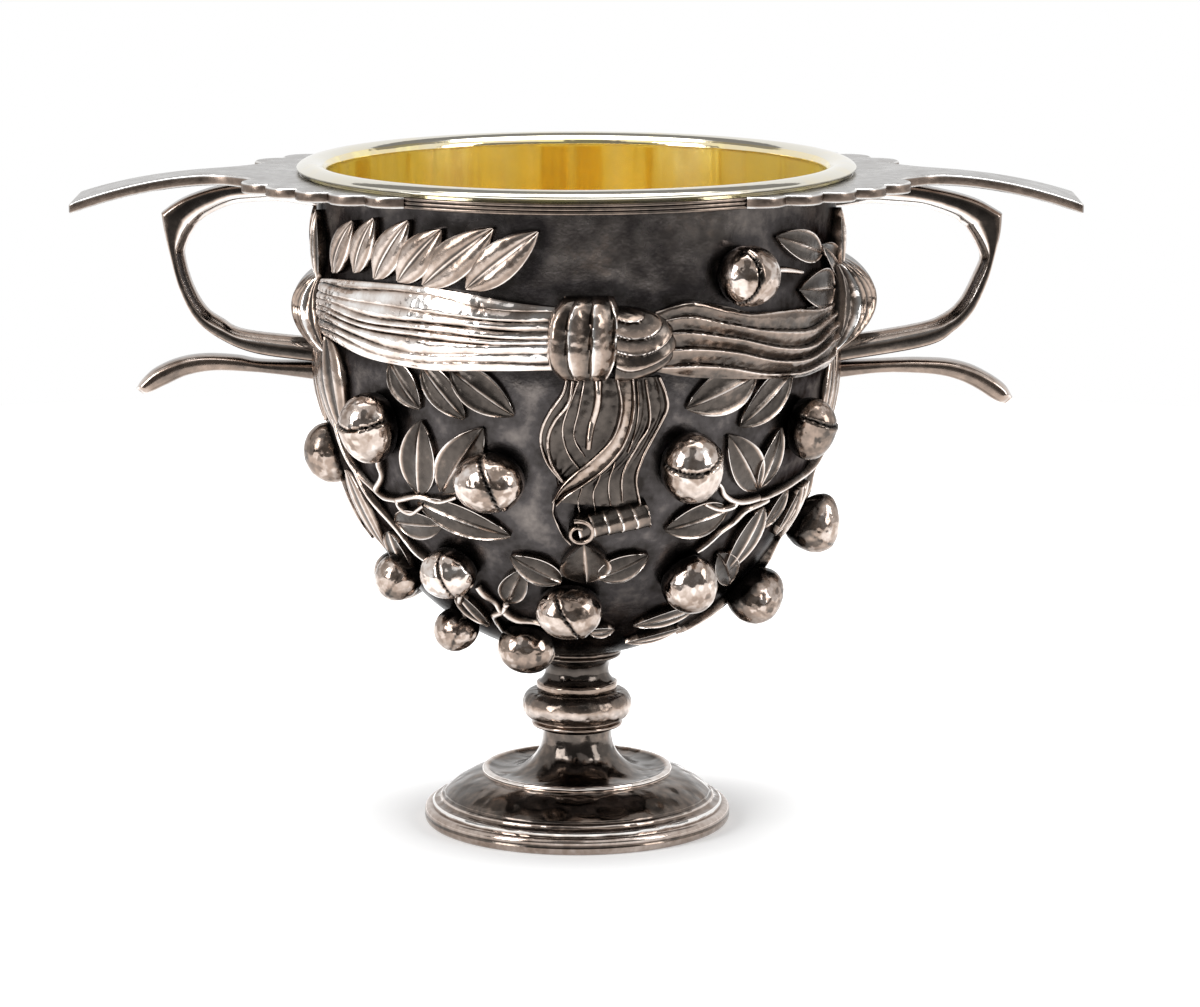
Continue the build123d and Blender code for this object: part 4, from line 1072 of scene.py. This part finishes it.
def build_plate(side, sign):
    """The scalloped plate: a flat top and underside joined by a rounded edge, with the tail bent down."""
    outline, rounded = plate_outline()
    along = np.roll(outline, -1, axis=0) - np.roll(outline, 1, axis=0)
    along /= np.linalg.norm(along, axis=1, keepdims=True)
    inward = columns(-along[:, 1], along[:, 0]) * rounded[:, None]
    count = len(outline)
    grid = np.meshgrid(np.arange(30, PLATE_TIP_X, PLATE_GRID), np.arange(-48, 48, PLATE_GRID))
    grid = columns(*grid).reshape(-1, 2)
    filling = grid[inside(outline + inward * PLATE_EDGE[0][0], grid)]
    points, shade, quads, tris = [], [], [], []
    for number, (inset, drop, polish_and_shading) in enumerate(PLATE_EDGE):
        flat = outline + inward * inset
        points.append(columns(*flat.T, LIP_SEAT_Z - drop))
        shade.append(np.full(count, polish_and_shading))
        if number:
            here = np.arange(count) + number * count
            quads.append(columns(here - count, np.roll(here, -1) - count, np.roll(here, -1), here))
    for number in (0, len(PLATE_EDGE) - 1):
        border = points[number][:, :2]
        plan = [Vector(p) for p in np.vstack([border, filling])]
        made = delaunay_2d_cdt(plan, [], [list(range(count))], 1, 1e-6)
        source = np.array([rows[0] for rows in made[3]])
        start = sum(len(p) for p in points)
        known = np.concatenate([np.arange(count) + number * count, np.arange(len(filling)) + start])
        tris.append(known[source[np.array(made[2])]])
        points.append(columns(*filling.T, points[number][0, 2]))
        shade.append(np.full(len(filling), PLATE_EDGE[number][2]))
    points = np.vstack(points)
    run = PLATE_TIP_X - PLATE_BEND_X
    bend = (run**2 + PLATE_DROOP**2) / (2 * PLATE_DROOP)
    past = np.clip(points[:, 0] - PLATE_BEND_X, 0, None)
    points[:, 2] -= bend - np.sqrt(bend**2 - past**2)
    points[:, 0] *= sign
    plate = Shells()
    plate.add(points, np.concatenate(shade), np.concatenate(quads), np.concatenate(tris))
    plate.build(side + "_scalloped_plate", PLATE, side + "_thumb_plate", crease=40)


# Studio: metres, with the tilt in degrees and the lens and sensor in millimetres

FLOOR_RADIUS = 0.55
SHADOW_RADIUS = 0.033
WHITE_RADIUS = 0.075
SCREEN_RADIUS = 1.5
CAMERA_PLACE = (0.0047, -0.928, 0.2383)
CAMERA_TILT = 79.453
CAMERA_LENS = 139.65
CAMERA_SENSOR = 36


def lamp(name, place, target, size, power):
    data = bpy.data.lights.new(name, "AREA")
    data.shape = "RECTANGLE"
    data.size, data.size_y = size
    data.energy = power
    lamp_object = put(name, data)
    lamp_object.location = place
    away = lamp_object.location - Vector(target)
    lamp_object.rotation_euler = away.to_track_quat("Z", "Y").to_euler()


def build_world():
    world = bpy.data.worlds.new("studio")
    bpy.context.scene.world = world
    n = Nodes(world, "Background")
    n.fill(n.shader, {"Color": (1, 1, 1, 1), "Strength": n.span(n.seen_directly(), 0.35, 1.0)})


def build_floor():
    """A pale round table top that glows to white away from the foot, so that only its shadow shows."""
    bpy.ops.mesh.primitive_circle_add(radius=FLOOR_RADIUS, vertices=128, fill_type="NGON")
    floor = bpy.context.object
    floor.name = "floor"
    n = Nodes(bpy.data.materials.new("pale_floor"))
    looks = {"Base Color": (0.75, 0.75, 0.75, 1), "Roughness": 0.9, "Specular IOR Level": 0.1}
    looks["Emission Color"] = (1, 1, 1, 1)
    distance = n.new("ShaderNodeVectorMath", {0: n.place()}, operation="LENGTH").outputs["Value"]
    glow = n.span(distance, 0.3, 1.0, SHADOW_RADIUS, WHITE_RADIUS)
    looks["Emission Strength"] = n.math("MULTIPLY", glow, n.seen_directly())
    n.fill(n.shader, looks)
    floor.data.materials.append(n.owner)


def build_dark_screen(name, turns, heights, glow):
    """A dim curved screen round the cup, which the metal mirrors and which lights nothing."""
    angle = np.radians(np.linspace(*turns, 49))
    ring = columns(SCREEN_RADIUS * np.sin(angle), -SCREEN_RADIUS * np.cos(angle))
    points = np.vstack([columns(*ring.T, z) for z in heights])
    low = np.arange(len(ring) - 1)
    high = low + len(ring)
    mesh = bpy.data.meshes.new(name)
    mesh.from_pydata(points.tolist(), [], columns(low, low + 1, high + 1, high).tolist())
    n = Nodes(bpy.data.materials.new("dim_cloth"))
    looks = {"Base Color": (0.05, 0.05, 0.05, 1), "Emission Color": (1, 0.98, 0.96, 1)}
    n.fill(n.shader, {**looks, "Emission Strength": glow})
    mesh.materials.append(n.owner)
    screen = put(name, mesh)
    screen.visible_camera = False
    screen.visible_diffuse = False
    screen.visible_shadow = False


def build_studio():
    scene = bpy.context.scene
    scene.view_settings.view_transform = "Standard"
    build_world()
    build_floor()
    build_dark_screen("dark_screen", (-72, 72), (-1.3, 0.95), 0.13)
    build_dark_screen("dark_flag", (-24, 5), (0.95, 3.0), 0.13)
    build_dark_screen("dim_canopy", (120, 240), (1.25, 3.2), 0.22)
    lamp("left_softbox", (-0.85, -0.6, 0.5), (0, 0, 0.08), (0.35, 0.8), 9.0)
    lamp("right_softbox", (0.9, -0.5, 0.5), (0, 0, 0.08), (0.3, 0.7), 4.0)
    lamp("top_softbox", (0.0, 0.05, 1.1), (0, 0, 0.1), (0.9, 0.6), 7.0)
    camera = put("camera", bpy.data.cameras.new("camera"))
    camera.location = CAMERA_PLACE
    camera.rotation_euler = (math.radians(CAMERA_TILT), 0, 0)
    camera.data.lens = CAMERA_LENS
    camera.data.sensor_width = CAMERA_SENSOR
    scene.camera = camera


build_foot()
build_stem()
relief = np.concatenate(build_sprays_and_fruit() + build_ribbon())
build_bowl(np.concatenate([relief, relief * HALF_TURN]))
build_rim()
build_handles()
for hidden in ("tie_rod", "foot_washer", "foot_nut"):
    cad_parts[hidden].data.materials.clear()
    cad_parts[hidden].data.materials.append(PLAIN[0])
build_studio()
